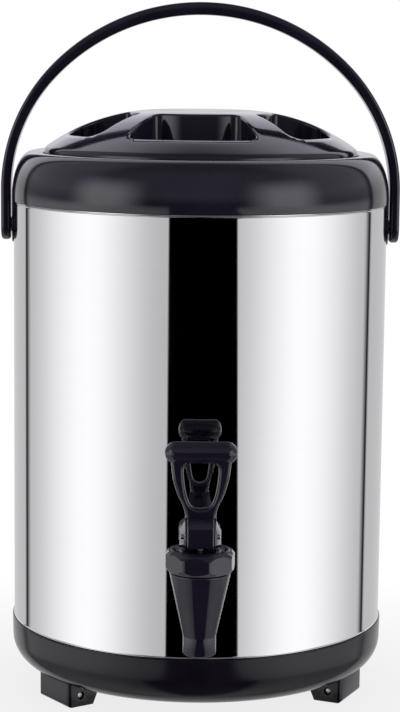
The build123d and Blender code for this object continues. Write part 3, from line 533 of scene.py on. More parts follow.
# %% [markdown]
# ## Steel barrel
# The sheet is rolled to a tube. Its two visible ends carry a small rolled bead, which catches every light
# of the room at once and so shows as a thin bright line under the collar and over the base.

# %% Turn the barrel
SHELL_WALL, BEAD, BEAD_AT, BEAD_SWING = 0.8, 0.45, 0.9, 80
radius, low, high, lap = BARREL_R / MM, STEEL_LOW / MM, STEEL_HIGH / MM, LAP / MM
inside = radius - SHELL_WALL
outline = [(inside, low - lap), (radius, low - lap), (radius, low + 0.2)]
outline += arc((radius, low + BEAD_AT), BEAD, -BEAD_SWING, BEAD_SWING, 6)
outline += [(radius, z) for z in (low + 1.6, low + 1.9, (low + high) / 2, high - 1.9, high - 1.6)]
outline += arc((radius, high - BEAD_AT), BEAD, -BEAD_SWING, BEAD_SWING, 6)
outline += [(radius, high - 0.2), (radius, high + lap), (inside, high + lap)]
barrel = turned("steel_barrel", outline, barrel_axis, steps=256)
finish_piece(barrel, ["outer_shell"], slot="polished_steel")

# %% [markdown]
# ## Collar
# One moulding: a shoulder that rounds inward all the way up, and inside it the stepped mouth for lid,
# gasket and plug.

# %% Turn the collar
SHOULDER_WIDE, SHOULDER_TALL, CREST_FALL, LIP, FIT = 13.7, 30.0, 0.5, 1.2, 0.1
SEAT_R, GASKET_R, NECK_R, BELOW_R = 106.6, 102.8, 98.6, 101.2
collar_r, crest = radius + LIP, CREST_Z / MM
skirt_top = crest - CREST_FALL - SHOULDER_TALL
seat, shelf, roof, neck_end = crest - 4.3, crest - 9.7, crest - 17, crest - 26.7
shoulder = [(collar_r - SHOULDER_WIDE + SHOULDER_WIDE * p.x, skirt_top + SHOULDER_TALL * p.y)
            for p in arc((0, 0), 1, 0, 90, 28)]
mouth_corners = [
    (SEAT_R, crest, 0.9), (SEAT_R, seat, 0.4), (GASKET_R, seat, 0.5), (GASKET_R, shelf, 0.4),
    (NECK_R, shelf, 0.7), (NECK_R, neck_end, 0.7), (BELOW_R, neck_end, 0.7), (BELOW_R, roof, 0),
    (110.0, roof, 0), (119.0, high + 3.2, 0), (radius + FIT, high + 3.2, 0), (radius + FIT, high, 0.3),
    (collar_r, high, 0.6), (collar_r, skirt_top, 0)]
collar = turned("collar", shoulder + rounded(mouth_corners), barrel_axis, steps=224)
finish_piece(collar, ["top_collar"])

# %% [markdown]
# Two ears hang from the collar over the steel where the bail turns. They are cut from the same wall: a
# long bar with a round end, crossed with a thin ring, leaves just the two curved tabs. Ledges for the
# bayonet stand low in the mouth, and the lid's lugs turn under them.


# %% Tools for blocks and cuts
def mm(x, y, z):
    """A point or step given in millimetres."""
    return Vector((x * MM, y * MM, z * MM))


def block(name, points, thick):
    """A piece that is one filled outline, pulled out by a vector and still open for editing."""
    piece = begin(name)
    draw(points, closed=True)
    bpy.ops.mesh.edge_face_add()
    bpy.ops.mesh.extrude_region_move(TRANSFORM_OT_translate={"value": thick})
    bpy.ops.mesh.select_all(action="SELECT")
    bpy.ops.mesh.normals_make_consistent(inside=False)
    return piece


def shape(piece, kind, **settings):
    """Apply one modifier to the piece."""
    take(piece)
    modifier = piece.modifiers.new(kind.lower(), kind)
    for key, setting in settings.items():
        setattr(modifier, key, setting)
    bpy.ops.object.modifier_apply(modifier=modifier.name)


def cut(piece, tool, operation="DIFFERENCE"):
    """Boolean with a tool that is thrown away."""
    shape(piece, "BOOLEAN", operation=operation, solver="EXACT", object=tool)
    bpy.data.objects.remove(tool)


def soften(piece, width, steps=3, angle=35):
    """Round the piece's edges by a width in millimetres."""
    shape(
        piece, "BEVEL", width=width * MM, segments=steps, limit_method="ANGLE", angle_limit=radians(angle),
        use_clamp_overlap=True)


def mend(piece):
    """Merge the points that a cut left on top of each other."""
    take(piece, edit=True)
    bpy.ops.mesh.remove_doubles(threshold=MEND)
    bpy.ops.mesh.dissolve_degenerate(threshold=DEGENERATE)
    bpy.ops.mesh.normals_make_consistent(inside=False)
    bpy.ops.object.mode_set(mode="OBJECT")


def join(first, *others):
    """Put the other pieces' meshes into the first."""
    take(first)
    for piece in others:
        piece.select_set(True)
    bpy.ops.object.join()
    return first


print("block tools ready")

# %% Cut the ears
EAR_HALF, EAR_BAR = 12.0, 140
pivot = PIVOT_Z / MM
ear_plan = [(-EAR_HALF, high + 2), *arc((0, pivot), EAR_HALF, 180, 360, 20), (EAR_HALF, high + 2)]
ears = block("collar_ears", [barrel_axis + mm(-EAR_BAR, y, z) for y, z in ear_plan], mm(2 * EAR_BAR, 0, 0))
ear_in, ring_low, ring_high = radius + FIT, pivot - 20, high + 4
ring_plan = [(ear_in, ring_low), (collar_r, ring_low), (collar_r, ring_high), (ear_in, ring_high)]
cut(ears, turned("ear_ring", ring_plan, barrel_axis, steps=224), "INTERSECT")
soften(ears, 0.4, 2)
finish_piece(ears)

# %% Turn the pivot bosses
BOSS_R, BOSS_BORE, BOSS_REACH = 5.2, 1.9, 127.86
boss_plan = rounded([
    (BOSS_BORE, radius, 0), (BOSS_R, radius, 0), (BOSS_R, BOSS_REACH, 0.4), (BOSS_BORE, BOSS_REACH, 0.2)])
boss_plans = [[(p.x, side * p.y) for p in boss_plan] for side in (1, -1)]
bosses = [turned("pivot_bosses", plan, pivot_middle, "X", 40) for plan in boss_plans]
finish_piece(join(*bosses))

# %% Ledges and stops in the mouth
LEDGE_LOW, LEDGE_HIGH, LEDGE_IN, LEDGE_OUT = 349.9, 352.9, 96.2, 98.9
LID_TURN, LUGS, LEDGE_ARC, STOP_ARC, LUG_TALL = -4.7, 4, 40.0, 2.2, 3.6
ledges = []
for step in range(LUGS):
    start = LID_TURN + 360 / LUGS * (step + 0.5) - LEDGE_ARC / 2
    out = Vector((cos(radians(start)), sin(radians(start)), 0))
    for sweep, below, above in (
            (LEDGE_ARC, LEDGE_LOW, LEDGE_HIGH), (STOP_ARC, LEDGE_LOW - LUG_TALL, LEDGE_LOW + 0.5)):
        ledges.append(begin("bayonet_ledges"))
        corners = [(LEDGE_IN, below), (LEDGE_OUT, below), (LEDGE_OUT, above), (LEDGE_IN, above)]
        draw([barrel_axis + out * across * MM + mm(0, 0, up) for across, up in corners], closed=True)
        bpy.ops.mesh.edge_face_add()
        bpy.ops.mesh.spin(
            steps=max(2, int(sweep / 2)), angle=radians(sweep), center=barrel_axis, axis=(0, 0, -1))
        weld()
finish_piece(join(*ledges))

# %% [markdown]
# ## Base
# A moulded bowl: the wall is almost upright, then a quarter round carries it to the flat underside. The
# underside has a raised middle, where three screws go up into the shell's floor.

# %% Turn the base
BOWL, STAND, RECESS_R, RECESS_DEEP, GROOVE_DEEP = 19.5, 14.0, 72.0, 4.0, 0.8
bowl_r, recess = collar_r - 0.7, STAND + RECESS_DEEP
groove = recess - GROOVE_DEEP
outside_corners = [
    (radius + FIT, low, 0.3), (collar_r, low, 0.8), (bowl_r, STAND, BOWL), (RECESS_R, STAND, 0.9),
    (RECESS_R, recess, 0.6), (58, recess, 0.4), (57, groove, 0.4), (46, groove, 0.4), (45, recess, 0.4),
    (0, recess, 0)]
inside_corners = [
    (0, recess + 2, 0), (72, recess + 2, 0), (104, STAND + 3, 0), (122, 30, 0), (122, 40, 0),
    (radius + FIT, low - 3, 0)]
base = turned("base_bowl", rounded(outside_corners + inside_corners), barrel_axis, steps=224)
finish_piece(base, ["base_cup"], finish=dull_black)

# %% [markdown]
# ## Feet
# Each foot is a block with rounded outer corners, a leaning inner face and a small cross-head screw in
# its side. The block is drawn from its side view and pulled to its width; its outer corners are rounded
# more than its other edges.

# %% Make the feet
FOOT_OUT, FOOT_SOLE, FOOT_HALF, FOOT_SLANT, FOOT_CORNER = 116.0, 19.5, 19.0, 6.0, 3.0
FEET = (("foot_rear", 94.5, 1), ("foot_left", 214.5, 1), ("foot_right", 334.5, -1))
PEG_AT, PEG_Z, PEG_HOLE, PEG_SUNK, PEG_HEAD = FOOT_OUT - FOOT_SOLE / 2, 7.5, 2.75, 1.0, 1.6
NEAR = 0.01 * MM
peg_seat = FOOT_HALF - PEG_SUNK - PEG_HEAD
foot_in = FOOT_OUT - FOOT_SOLE
back = foot_in - FOOT_SLANT
side_view = [
    (FOOT_OUT, 0), (FOOT_OUT, 19.0), (bowl_r - BOWL, STAND + 1.2), (back, STAND + 1.2), (back, STAND - 0.4),
    (foot_in, 0)]
hole_plan = [(0, peg_seat), (PEG_HOLE, peg_seat), (PEG_HOLE, FOOT_HALF + 1), (0, FOOT_HALF + 1)]


def around(angle, out=0, aside=0, up=0):
    """Place that is turned about the barrel's axis by degrees, then moved by millimetres."""
    turned_place = Matrix.Translation(barrel_axis) @ Matrix.Rotation(radians(angle), 4, "Z")
    return turned_place @ Matrix.Translation(mm(out, aside, up))


for name, angle, side in FEET:
    foot = block(name + "_block", [mm(r, -FOOT_HALF, z) for r, z in side_view], mm(0, 2 * FOOT_HALF, 0))
    bpy.ops.mesh.select_all(action="DESELECT")
    bpy.ops.object.mode_set(mode="OBJECT")
    for edge in foot.data.edges:
        ends = [foot.data.vertices[v].co for v in edge.vertices]
        edge.select = all(v.x > FOOT_OUT * MM - NEAR for v in ends) and abs(ends[0].y - ends[1].y) < NEAR
    bpy.ops.object.mode_set(mode="EDIT")
    bpy.ops.mesh.select_mode(type="EDGE")
    bpy.ops.mesh.bevel(offset=FOOT_CORNER * MM, segments=6, affect="EDGES")
    bpy.ops.mesh.select_mode(type="VERT")
    soften(foot, 0.7, 3, 28)
    cut(foot, turned("peg_hole", [(r, side * y) for r, y in hole_plan], mm(PEG_AT, 0, PEG_Z), "Y", 32))
    foot.data.transform(around(angle))
    finish_piece(foot, [name], 30, finish=dull_black)

# %% [markdown]
# ## Lid
# The lid is one dome with five finger wells, so that a hand can grip the hub between them. Such a skin is
# best thought of as a height over the plan: a sum gives the height of dome and dish anywhere, and a
# triangle mesh is laid between the rim and the wells' outlines. Rings then carry each outline round the
# lip and down to the well's floor.

# %% Height of the lid's skin
LID_BROW, CAP_R, CAP_REACH = 366.4, 400.0, 40.0
DISH_R, DISH_DEEP, DISH_MORE, DISH_SOFT = 34.0, 1.0, 4, 0.02
lid_r, lid_top = (lid_high.x - lid_low.x) / 2 / MM, lid_high.z / MM
lean = CAP_REACH / CAP_R
knee = Vector((CAP_REACH, lid_top - CAP_R + sqrt(CAP_R ** 2 - CAP_REACH ** 2)))
knee_normal = Vector((lean, sqrt(1 - lean ** 2)))
to_rim = Vector((lid_r, LID_BROW)) - knee
brow_r = -to_rim.length_squared / (2 * to_rim.dot(knee_normal))
brow_middle = knee - brow_r * knee_normal
dish_ball = (DISH_R ** 2 + DISH_DEEP ** 2) / (2 * DISH_DEEP)
dish_edge = lid_top - DISH_R ** 2 / (2 * CAP_R)


def dome_height(r):
    """A flat cap in the middle, and a rounder brow that leaves it without a kink."""
    if r <= CAP_REACH:
        return lid_top - CAP_R + sqrt(CAP_R ** 2 - r * r)
    return brow_middle.y + sqrt(max(0.0, brow_r ** 2 - (r - brow_middle.x) ** 2))


def lid_height(x, y):
    """The dome, or the dish where that is lower, with a soft edge between them."""
    r = hypot(x, y)
    height = dome_height(r)
    if r < DISH_R + DISH_MORE:
        dish = dish_edge - DISH_DEEP + dish_ball - sqrt(dish_ball ** 2 - r * r)
        height -= 0.5 * (height - dish + sqrt((height - dish) ** 2 + DISH_SOFT))
    return height


print(f"heights: middle {lid_height(0, 0):.2f}, hub {lid_height(45, 0):.2f}, rim {lid_height(lid_r, 0):.2f}")

# %% Sides and corners of the wells
HUB_R, WELL_R, WELL_CORNER, WELL_TURN, WING_TURN = 48.0, 89.4, 4.5, 8.0, 26.0
# A side is its angles at the hub and at the outer wall, and the radius of its outer corner
FRONT_WELL = ((-33.0, -28.3), WELL_TURN), ((33.0, 28.3), WELL_TURN)
WING_WELL = ((52.5, 44.7), WELL_TURN), ((96, 96), WING_TURN)
REAR_WELL = ((111, 111), WELL_TURN), ((172.5, 172.5), WELL_TURN)


def mirrored(well):
    """The same well on the left."""
    return tuple(((-hub, -wall), turn) for (hub, wall), turn in reversed(well))


def heading(angle):
    """Direction at an angle in degrees from the front towards the right."""
    return Vector((sin(radians(angle)), -cos(radians(angle))))


def angle_of(direction):
    return degrees(atan2(direction.x, -direction.y))


def well_side(angles, turn, sense):
    """Outward normal and distance of a side, and its two corners as (middle, radius, out or in)."""
    inner, outer = heading(angles[0]) * HUB_R, heading(angles[1]) * WELL_R
    along = (outer - inner).normalized()
    normal = Vector((-along.y, along.x)) * sense
    reach = inner.dot(normal)
    corners = []
    for circle, corner_r, sign in ((WELL_R, turn, 1), (HUB_R, WELL_CORNER, -1)):
        off = reach - corner_r
        far = sqrt((circle - sign * corner_r) ** 2 - off ** 2)
        corners.append((normal * off + along * far, corner_r, sign))
    return normal, reach, corners


wells = []
for start, end in (FRONT_WELL, WING_WELL, mirrored(WING_WELL), REAR_WELL, mirrored(REAR_WELL)):
    facing = heading((start[0][1] + end[0][1]) / 2)
    wells.append((facing, well_side(*start, -1), well_side(*end, 1)))
print("wells:", len(wells))

# %% Outlines of the wells
SIDE_STEPS, WALL_GAP, HUB_GAP = 14, 2.0, 1.6


def ring_points(radius, start, end, sign, gap):
    """Points on a circle about the axis, with normals that point away from the well."""
    steps = max(2, int(abs(end - start) * radius * pi / 180 / gap))
    ways = [heading(start + (end - start) * k / steps) for k in range(steps + 1)]
    return [(way * radius, way * sign) for way in ways]


def corner_points(normal, middle, corner_r, sign):
    """Rounded corner where a side meets a circle, from the circle to the side; and its angle."""
    angle = angle_of(middle)
    first = angle + (0 if sign > 0 else 180)
    sweep = (angle_of(normal) - first + 180) % 360 - 180
    steps = 8 if sign < 0 else 10 if corner_r < 10 else 22
    normals = [heading(first + sweep * k / steps) for k in range(steps + 1)]
    return [(middle + way * corner_r, way) for way in normals], angle


def straight(first, last):
    """Points between the ends of a side's two corners."""
    return [(first[0].lerp(last[0], k / SIDE_STEPS), first[1]) for k in range(1, SIDE_STEPS)]


def well_outline(start, end):
    """Closed outline of a well as points and outward normals."""
    (out_start, from_angle), (in_start, hub_to) = (corner_points(start[0], *corner) for corner in start[2])
    (out_end, to_angle), (in_end, hub_from) = (corner_points(end[0], *corner) for corner in end[2])
    loop = ring_points(WELL_R, from_angle, to_angle, 1, WALL_GAP)[:-1] + out_end
    loop += straight(out_end[-1], in_end[-1]) + in_end[::-1]
    loop += ring_points(HUB_R, hub_from, hub_to, -1, HUB_GAP)[1:-1] + in_start
    return loop + straight(in_start[-1], out_start[-1]) + out_start[:0:-1]


well_outlines = [well_outline(start, end) for _, start, end in wells]
print("points round the wells:", [len(outline) for outline in well_outlines])


# %% What lies inside a well
def inside_well(point, grow=0.0):
    """True inside a well's outline grown by a margin."""
    for facing, *sides in wells:
        if point.dot(facing) <= 0 or not HUB_R - grow < point.length < WELL_R + grow:
            continue
        outside = False
        for normal, reach, corners in sides:
            outside = outside or point.dot(normal) > reach + grow
            for middle, corner_r, sign in corners:
                off, towards = point - middle, middle * sign
                turning = normal.cross(towards)
                in_corner = normal.cross(off) * turning > 0 and off.cross(towards) * turning > 0
                outside = outside or in_corner and off.length > corner_r + grow
        if not outside:
            return True
    return False


for spot in (Vector((0, 0)), Vector((0, -68))):
    print("in a well at", tuple(spot), inside_well(spot))

# %% Lay the skin between the rim and the wells
LIP_R, RIM_STEPS, RIM_ROUND, RIM_START = 1.8, 288, 2.2, radians(33)
ROWS, ROW_GAP, POINT_GAP, KEEP_OFF, KEEP_OFF_RIM, SAME = 41, 2.55, 2.9, 0.7, 0.8, 1e-5
rim_r = lid_r - RIM_ROUND
rim_angles = [2 * pi * k / RIM_STEPS for k in range(RIM_STEPS)]
plan, edges = [], []


def add_loop(points):
    """Add a closed line to the plan and return its points' numbers."""
    start, count = len(plan), len(points)
    plan.extend(points)
    edges.extend((start + k, start + (k + 1) % count) for k in range(count))
    return list(range(start, start + count))


rim_loop = add_loop([Vector((rim_r * cos(a), rim_r * sin(a))) for a in rim_angles])
well_loops = [add_loop([p + n * LIP_R for p, n in outline]) for outline in well_outlines]
for row in range(1, ROWS + 1):
    r = row * ROW_GAP
    count = max(8, int(2 * pi * r / POINT_GAP))
    for k in range(count):
        angle = 2 * pi * (k + 0.5 * (row % 2)) / count
        point = Vector((r * cos(angle), r * sin(angle)))
        if r < rim_r - KEEP_OFF_RIM and not inside_well(point, LIP_R + KEEP_OFF):
            plan.append(point)
points, _, triangles, origin, *_ = delaunay_2d_cdt(plan, edges, [], 0, SAME)
kept = []
for triangle in triangles:
    middle = sum((points[v] for v in triangle), Vector((0, 0))) / 3
    if not inside_well(middle, LIP_R):
        kept.append(triangle)
print("skin:", len(points), "points,", len(kept), "triangles")

# %% Carry the wells' outlines down
FLOOR_ROUND, WELL_FLOOR = 2.0, lid_top - 37.4
QUARTER = [pi / 2 * step / 6 for step in range(7)]
vertices = [Vector((p.x, p.y, lid_height(p.x, p.y))) for p in points]
faces = [tuple(triangle) for triangle in kept]
new_place = {old: new for new, olds in enumerate(origin) for old in olds}


def band(first, second):
    """Faces between two rings of the same number of points."""
    following = [*range(1, len(first)), 0]
    return [(first[k], first[n], second[n], second[k]) for k, n in enumerate(following)]


def carry(upper, ring):
    """Add a ring of points, join it to the ring above it and return its numbers."""
    lower = range(len(vertices), len(vertices) + len(ring))
    vertices.extend(ring)
    faces.extend(band(upper, lower))
    return lower


for outline, loop in zip(well_outlines, well_loops):
    upper = [new_place[v] for v in loop]
    tops = [vertices[v].z for v in upper]
    for angle in QUARTER[1:]:
        inward, drop = LIP_R * (1 - sin(angle)), LIP_R * (1 - cos(angle))
        upper = carry(upper, [Vector((*(p + n * inward), top - drop)) for (p, n), top in zip(outline, tops)])
    for angle in QUARTER:
        inward, lift = FLOOR_ROUND * (1 - cos(angle)), FLOOR_ROUND * (1 - sin(angle))
        upper = carry(upper, [Vector((*(p - n * inward), WELL_FLOOR + lift)) for p, n in outline])
    faces.append(tuple(upper))
print("skin with wells:", len(faces), "faces")

# %% Round the rim and close the lid
LID_LOW, RIM_IN, RIM_ROOF, PLUG_R, PLUG_LOW_R, PLUG_LOW = 360.9, 103.3, 362.4, 95.0, 93.0, 356.4
SHRINK = Matrix.Diagonal((MM, MM, MM, 1))


def piece_from(name, points, faces):
    """Piece from a list of points and a list of faces."""
    mesh = bpy.data.meshes.new(name)
    mesh.from_pydata(points, [], faces)
    piece = bpy.data.objects.new(name, mesh)
    bpy.context.scene.collection.objects.link(piece)
    return piece


def rim_ring(r, heights):
    return [Vector((r * cos(a), r * sin(a), z)) for a, z in zip(rim_angles, heights)]


upper = [new_place[v] for v in rim_loop]
rim_ball = RIM_ROUND / (1 - sin(RIM_START))
rim_tops = [vertices[v].z for v in upper]
for step in range(1, 7):
    angle = RIM_START + (pi / 2 - RIM_START) * step / 6
    r, drop = rim_r + rim_ball * (sin(angle) - sin(RIM_START)), rim_ball * (cos(RIM_START) - cos(angle))
    upper = carry(upper, rim_ring(r, [top - drop for top in rim_tops]))
for r, z in ((lid_r, LID_LOW + 0.5), (lid_r - 0.4, LID_LOW), (RIM_IN, LID_LOW), (RIM_IN, RIM_ROOF),
             (PLUG_R, RIM_ROOF), (PLUG_LOW_R, PLUG_LOW)):
    upper = carry(upper, rim_ring(r, [z] * RIM_STEPS))
faces.append(tuple(upper))
lid = piece_from("lid_dome", vertices, faces)
lid.data.transform(around(LID_TURN) @ SHRINK)
take(lid, edit=True)
bpy.ops.mesh.delete_loose()
finish_piece(lid, ["lid_cover"], 50, "lid")

# %% [markdown]
# ## Bail
# A strap bent to an arch. Its section is a rounded bar that grows a little thicker towards the top, where
# the hand holds it; the legs end round about the pivots. The section is carried along the arch, and the
# round ends come from spinning half of it about the pivot.

# %% Carry the strap's section along the arch
BAIL_IN, STRAP_HALF, STRAP_EDGE, ARCH_STEPS = 128.0, 10.5, 2.2, 40
BAIL_GRIP, ARCH_FLAT, SHOULDER_OFF, SHOULDER_MORE = 8.5, 7.8, 13.6, 4.1
bail_out, arch_top = bail_high.x / MM, bail_high.z / MM
leg_z = arch_top - (bail_out - ARCH_FLAT)


def arch_line(half, top, offset):
    """Right half of an arch: straight leg, shoulder arc and crown arc that are tangent to each other."""
    rise, bend_r = top - leg_z, half - offset
    crown_r = (offset ** 2 + rise ** 2 - bend_r ** 2) / (2 * (rise - bend_r))
    meet = degrees(atan2(crown_r - rise, offset))
    line = [Vector((half, pivot + (leg_z - pivot) * k / 4)) for k in range(4)]
    line += arc((offset, leg_z), bend_r, 0, meet, ARCH_STEPS)
    return line + arc((0, top - crown_r), crown_r, meet, 90, ARCH_STEPS)[1:]


def strap_section(outer, inner):
    """Rounded bar between two points of the arch."""
    thick = (outer - inner).length / 2
    edge_x, edge_y = thick - STRAP_EDGE, STRAP_HALF - STRAP_EDGE
    ring = [Vector((thick, 0))]
    ring += arc((edge_x, edge_y), STRAP_EDGE, 0, 90, 4) + arc((-edge_x, edge_y), STRAP_EDGE, 90, 180, 4)
    ring += [Vector((-thick, 0))]
    ring += arc((-edge_x, -edge_y), STRAP_EDGE, 180, 270, 4) + arc((edge_x, -edge_y), STRAP_EDGE, 270, 360, 4)
    centre, out = (outer + inner) / 2, (outer - inner).normalized()
    return [Vector((centre.x + out.x * p.x, p.y, centre.y + out.y * p.x)) for p in ring]


outer_line = arch_line(bail_out, arch_top, SHOULDER_OFF)
inner_line = arch_line(BAIL_IN, arch_top - BAIL_GRIP, SHOULDER_OFF + SHOULDER_MORE)
rings = [strap_section(outer, inner) for outer, inner in zip(outer_line, inner_line)]
rings += [[Vector((-p.x, p.y, p.z)) for p in ring] for ring in rings[-2::-1]]
count = len(rings[0])
numbers = [range(k * count, (k + 1) * count) for k in range(len(rings))]
strap_faces = [face for pair in zip(numbers, numbers[1:]) for face in band(*pair)]
bail = piece_from("bail_strap", [p for ring in rings for p in ring], strap_faces)
bail.data.transform(around(0) @ SHRINK)
print("strap:", len(strap_faces), "faces,", len(rings), "sections")

# %% Round ends about the pivots
STRAP_WELD = 0.01 * MM
end_plan = rounded([
    (0, BAIL_IN, 0), (STRAP_HALF, BAIL_IN, STRAP_EDGE), (STRAP_HALF, bail_out, STRAP_EDGE), (0, bail_out, 0)],
    closed=False)
lugs = []
for side in (1, -1):
    lugs.append(begin("bail_lug"))
    draw([pivot_middle + mm(side * p.y, p.x, 0) for p in end_plan], closed=False)
    bpy.ops.mesh.spin(steps=24, angle=pi, center=pivot_middle, axis=(1, 0, 0))
take(join(bail, *lugs), edit=True)
weld(STRAP_WELD)
print("strap closed by", len(lugs), "round ends")

# %% Bore the pivots and sink the studs' heads
PIVOT_BORE, SINK_R, SINK_FLOOR = 4.05, 6.3, 131.2
drill_plan = [
    (0, BAIL_IN - 2), (PIVOT_BORE, BAIL_IN - 2), (PIVOT_BORE, SINK_FLOOR), (SINK_R, SINK_FLOOR),
    (SINK_R, bail_out + 2), (0, bail_out + 2)]
for side in (1, -1):
    cut(bail, turned("pivot_drill", [(r, side * x) for r, x in drill_plan], pivot_middle, "X", 48))
mend(bail)
finish_piece(bail, ["bail_handle"], body="bail")

# %% [markdown]
# ## Tap
# The tap body is a straight spout under a cone; inside it are the bore and the valve chamber. A shank
# leads back through the steel, with a flange and a washer against it. The bonnet is a barrel-sided cap
# with round rims, screwed on top. All of them are lathe work, and the bonnet then gets eight flats to grip.

# %% Turn the tap body
SPOUT_R, CONE_R, SPOUT_BORE, CHAMBER_R, NECK_OUT, SEAT_BORE = 10.3, 19.1, 8.0, 11.4, 16.8, 6.0
CONE_HIGH, CHAMBER_FLOOR, SEAT_LOW = 115.1, 91.0, 87.0
spout, cone_low, neck_high = tap_low.z / MM, tap_low.z / MM + 11.8, tap_high.z / MM
body_corners = [
    (SPOUT_BORE, spout, 0.5), (SPOUT_R, spout, 0.8), (SPOUT_R, cone_low, 1.6), (CONE_R, CONE_HIGH, 1.3),
    (NECK_OUT, CONE_HIGH, 0), (NECK_OUT, neck_high, 0.4), (CHAMBER_R, neck_high, 0.4),
    (CHAMBER_R, CHAMBER_FLOOR, 0.6), (SEAT_BORE, CHAMBER_FLOOR, 0.4), (SEAT_BORE, SEAT_LOW, 0.3),
    (SPOUT_BORE, SEAT_LOW, 0.3)]
tap_body = turned("tap_cone", rounded(body_corners), tap_axis, steps=96)
finish_piece(tap_body, ["tap_body"])

# %% Turn the shank with its flange
SHANK_Z, SHANK_R, SHANK_BORE, SHANK_START, FLANGE_R, FLANGE_THICK = 99.0, 10.5, 6.5, 12.0, 14.0, 3.0
flange_back = (AXIS_Y - BARREL_R - TAP_Y) / MM - 3.0
flange_front = flange_back - FLANGE_THICK
shank_end = tap_high.y / MM - TAP_Y / MM
shank_corners = [
    (SHANK_BORE, SHANK_START, 0), (SHANK_R, SHANK_START, 0), (SHANK_R, flange_front, 0.8),
    (FLANGE_R, flange_front, 0.8), (FLANGE_R, flange_back, 0.4), (SHANK_R, flange_back, 0),
    (SHANK_R, shank_end, 0.6), (SHANK_BORE, shank_end, 0.4)]
shank = turned("tap_shank", rounded(shank_corners), tap_axis + mm(0, 0, SHANK_Z), "Y", 64)
finish_piece(shank)

# %% Turn the bonnet and cut its flats
END_R, BULGE_R, RIM, PLATE, STEM_HOLE, WALL_IN = 18.9, 22.5, 3.4, 128.6, 3.1, 16.9
FLATS, FLAT_CORNER, FLAT_ROUND, FLAT_TURN = 8, 22.3, 5.0, -8.6
bottom, top = bonnet_low.z / MM, bonnet_high.z / MM
bulge = BULGE_R - END_R
side_r = ((top - bottom) ** 2 / 4 + bulge ** 2) / (2 * bulge)
swing = degrees(atan2((top - bottom) / 2, side_r - bulge)) - 6
rim_in = END_R - RIM
bonnet_profile = [(NECK_OUT + 0.1, bottom), (END_R - 0.3, bottom)]
bonnet_profile += arc((BULGE_R - side_r, (bottom + top) / 2), side_r, -swing, swing, 16)
bonnet_profile += arc((END_R - RIM / 2 + 0.1, top - RIM / 2), RIM / 2, 50, 170, 8)
bonnet_profile += [(rim_in, PLATE + 0.6), (rim_in - 0.6, PLATE), (STEM_HOLE, PLATE), (STEM_HOLE, PLATE - 3)]
bonnet_profile += [(WALL_IN, PLATE - 3), (WALL_IN, bottom)]
bonnet = turned("bonnet", bonnet_profile, tap_axis, steps=96)
ways = [radians(FLAT_TURN + 360 / FLATS * (k + 0.5)) for k in range(FLATS)]
flat_plan = rounded([(FLAT_CORNER * sin(way), -FLAT_CORNER * cos(way), FLAT_ROUND) for way in ways])
flats = block(
    "bonnet_flats", [tap_axis + Vector((p.x, p.y, bottom - 1)) * MM for p in flat_plan],
    mm(0, 0, top - bottom + 2))
cut(bonnet, flats, "INTERSECT")
mend(bonnet)
finish_piece(bonnet, ["tap_bonnet"], 18)

# %% [markdown]
# ## Lever
# The lever is one moulding. Its foot stands over the stem on two cheeks with a cam nose between them, the
# loop above has round arms, and a round bar across the top is what the hand pulls. Foot, loop
# and bar are closed shapes that run into each other, joined to one piece.

# %% Side and front views of the foot
CHEEK_HALF, NOSE_HALF, NECK_HALF, NECK_Z, LEAN_Z, SWING = 12.9, 8.2, 9.8, 147.5, 139.5, 50
CAM_RATE, CAM_REACH, HEEL, FOOT_TOP, CHEEK_TOP = 4.5836, 7.8, 7.4, 12.4, 4.2
pin, pin_middle = PIN_Z / MM, Vector((0, TAP_Y, PIN_Z))


def cam_point(tilt):
    """Point of the foot that touches the bonnet at a tilt in degrees; the pin rises evenly with it."""
    angle = radians(tilt)
    reach = CAM_REACH + CAM_RATE * angle
    return (-reach * sin(angle) - CAM_RATE * cos(angle), -reach * cos(angle) + CAM_RATE * sin(angle))


def both(half):
    """An outline from its right half."""
    return half + [(-x, y) for x, y in reversed(half)]


def on_front(points, depth):
    """Front-view points in millimetres, on a plane at a depth from the tap's axis."""
    return [tap_axis + mm(x, depth, z) for x, z in points]


def side_block(name, points, half):
    """Block from side-view points about the pin, as wide as twice the half."""
    return block(name, [pin_middle + mm(-half, y, z) for y, z in points], mm(2 * half, 0, 0))


cam = [cam_point(SWING * step / 10) for step in range(11)]
brow = [(cam[-1][0] + out, up) for out, up in (
    (0, 1.5), (0.1, 7), (0.7, 9.4), (2.2, 11.2), (4.4, 12.1), (7.6, FOOT_TOP))]
nose_side = cam + brow + [(CHEEK_TOP, FOOT_TOP), (HEEL, 1.5), (HEEL, -CAM_REACH)]
cheek_side = [
    (HEEL, -CAM_REACH), (HEEL, 4), (CHEEK_TOP, FOOT_TOP), (-CHEEK_TOP, FOOT_TOP), (-6.4, 4), (-6.4, -3.8),
    (cam[0][0], -CAM_REACH)]
cheek_front = both([(CHEEK_HALF, pin - 10), (CHEEK_HALF, LEAN_Z), (NECK_HALF, NECK_Z), (NECK_HALF, pin + 16)])
cheek_plan = both([(NOSE_HALF + 0.6, -7), (CHEEK_HALF, 5), (CHEEK_HALF, 9)])
print("cam:", len(cam), "points, nose:", len(nose_side), "points")

# %% Foot of the lever
nose = side_block("lever_foot", nose_side, NOSE_HALF)
soften(nose, 0.9, 3, 30)
cheeks = side_block("lever_cheeks", cheek_side, CHEEK_HALF)
cut(cheeks, block("cheek_front", on_front(cheek_front, -20), mm(0, 40, 0)), "INTERSECT")
plan_block = block("cheek_plan", [pin_middle + mm(x, y, -12) for x, y in cheek_plan], mm(0, 0, 40))
cut(cheeks, plan_block, "INTERSECT")
soften(cheeks, 0.9, 3, 25)
cut(nose, cheeks, "UNION")
print("foot:", len(nose.data.polygons), "faces")

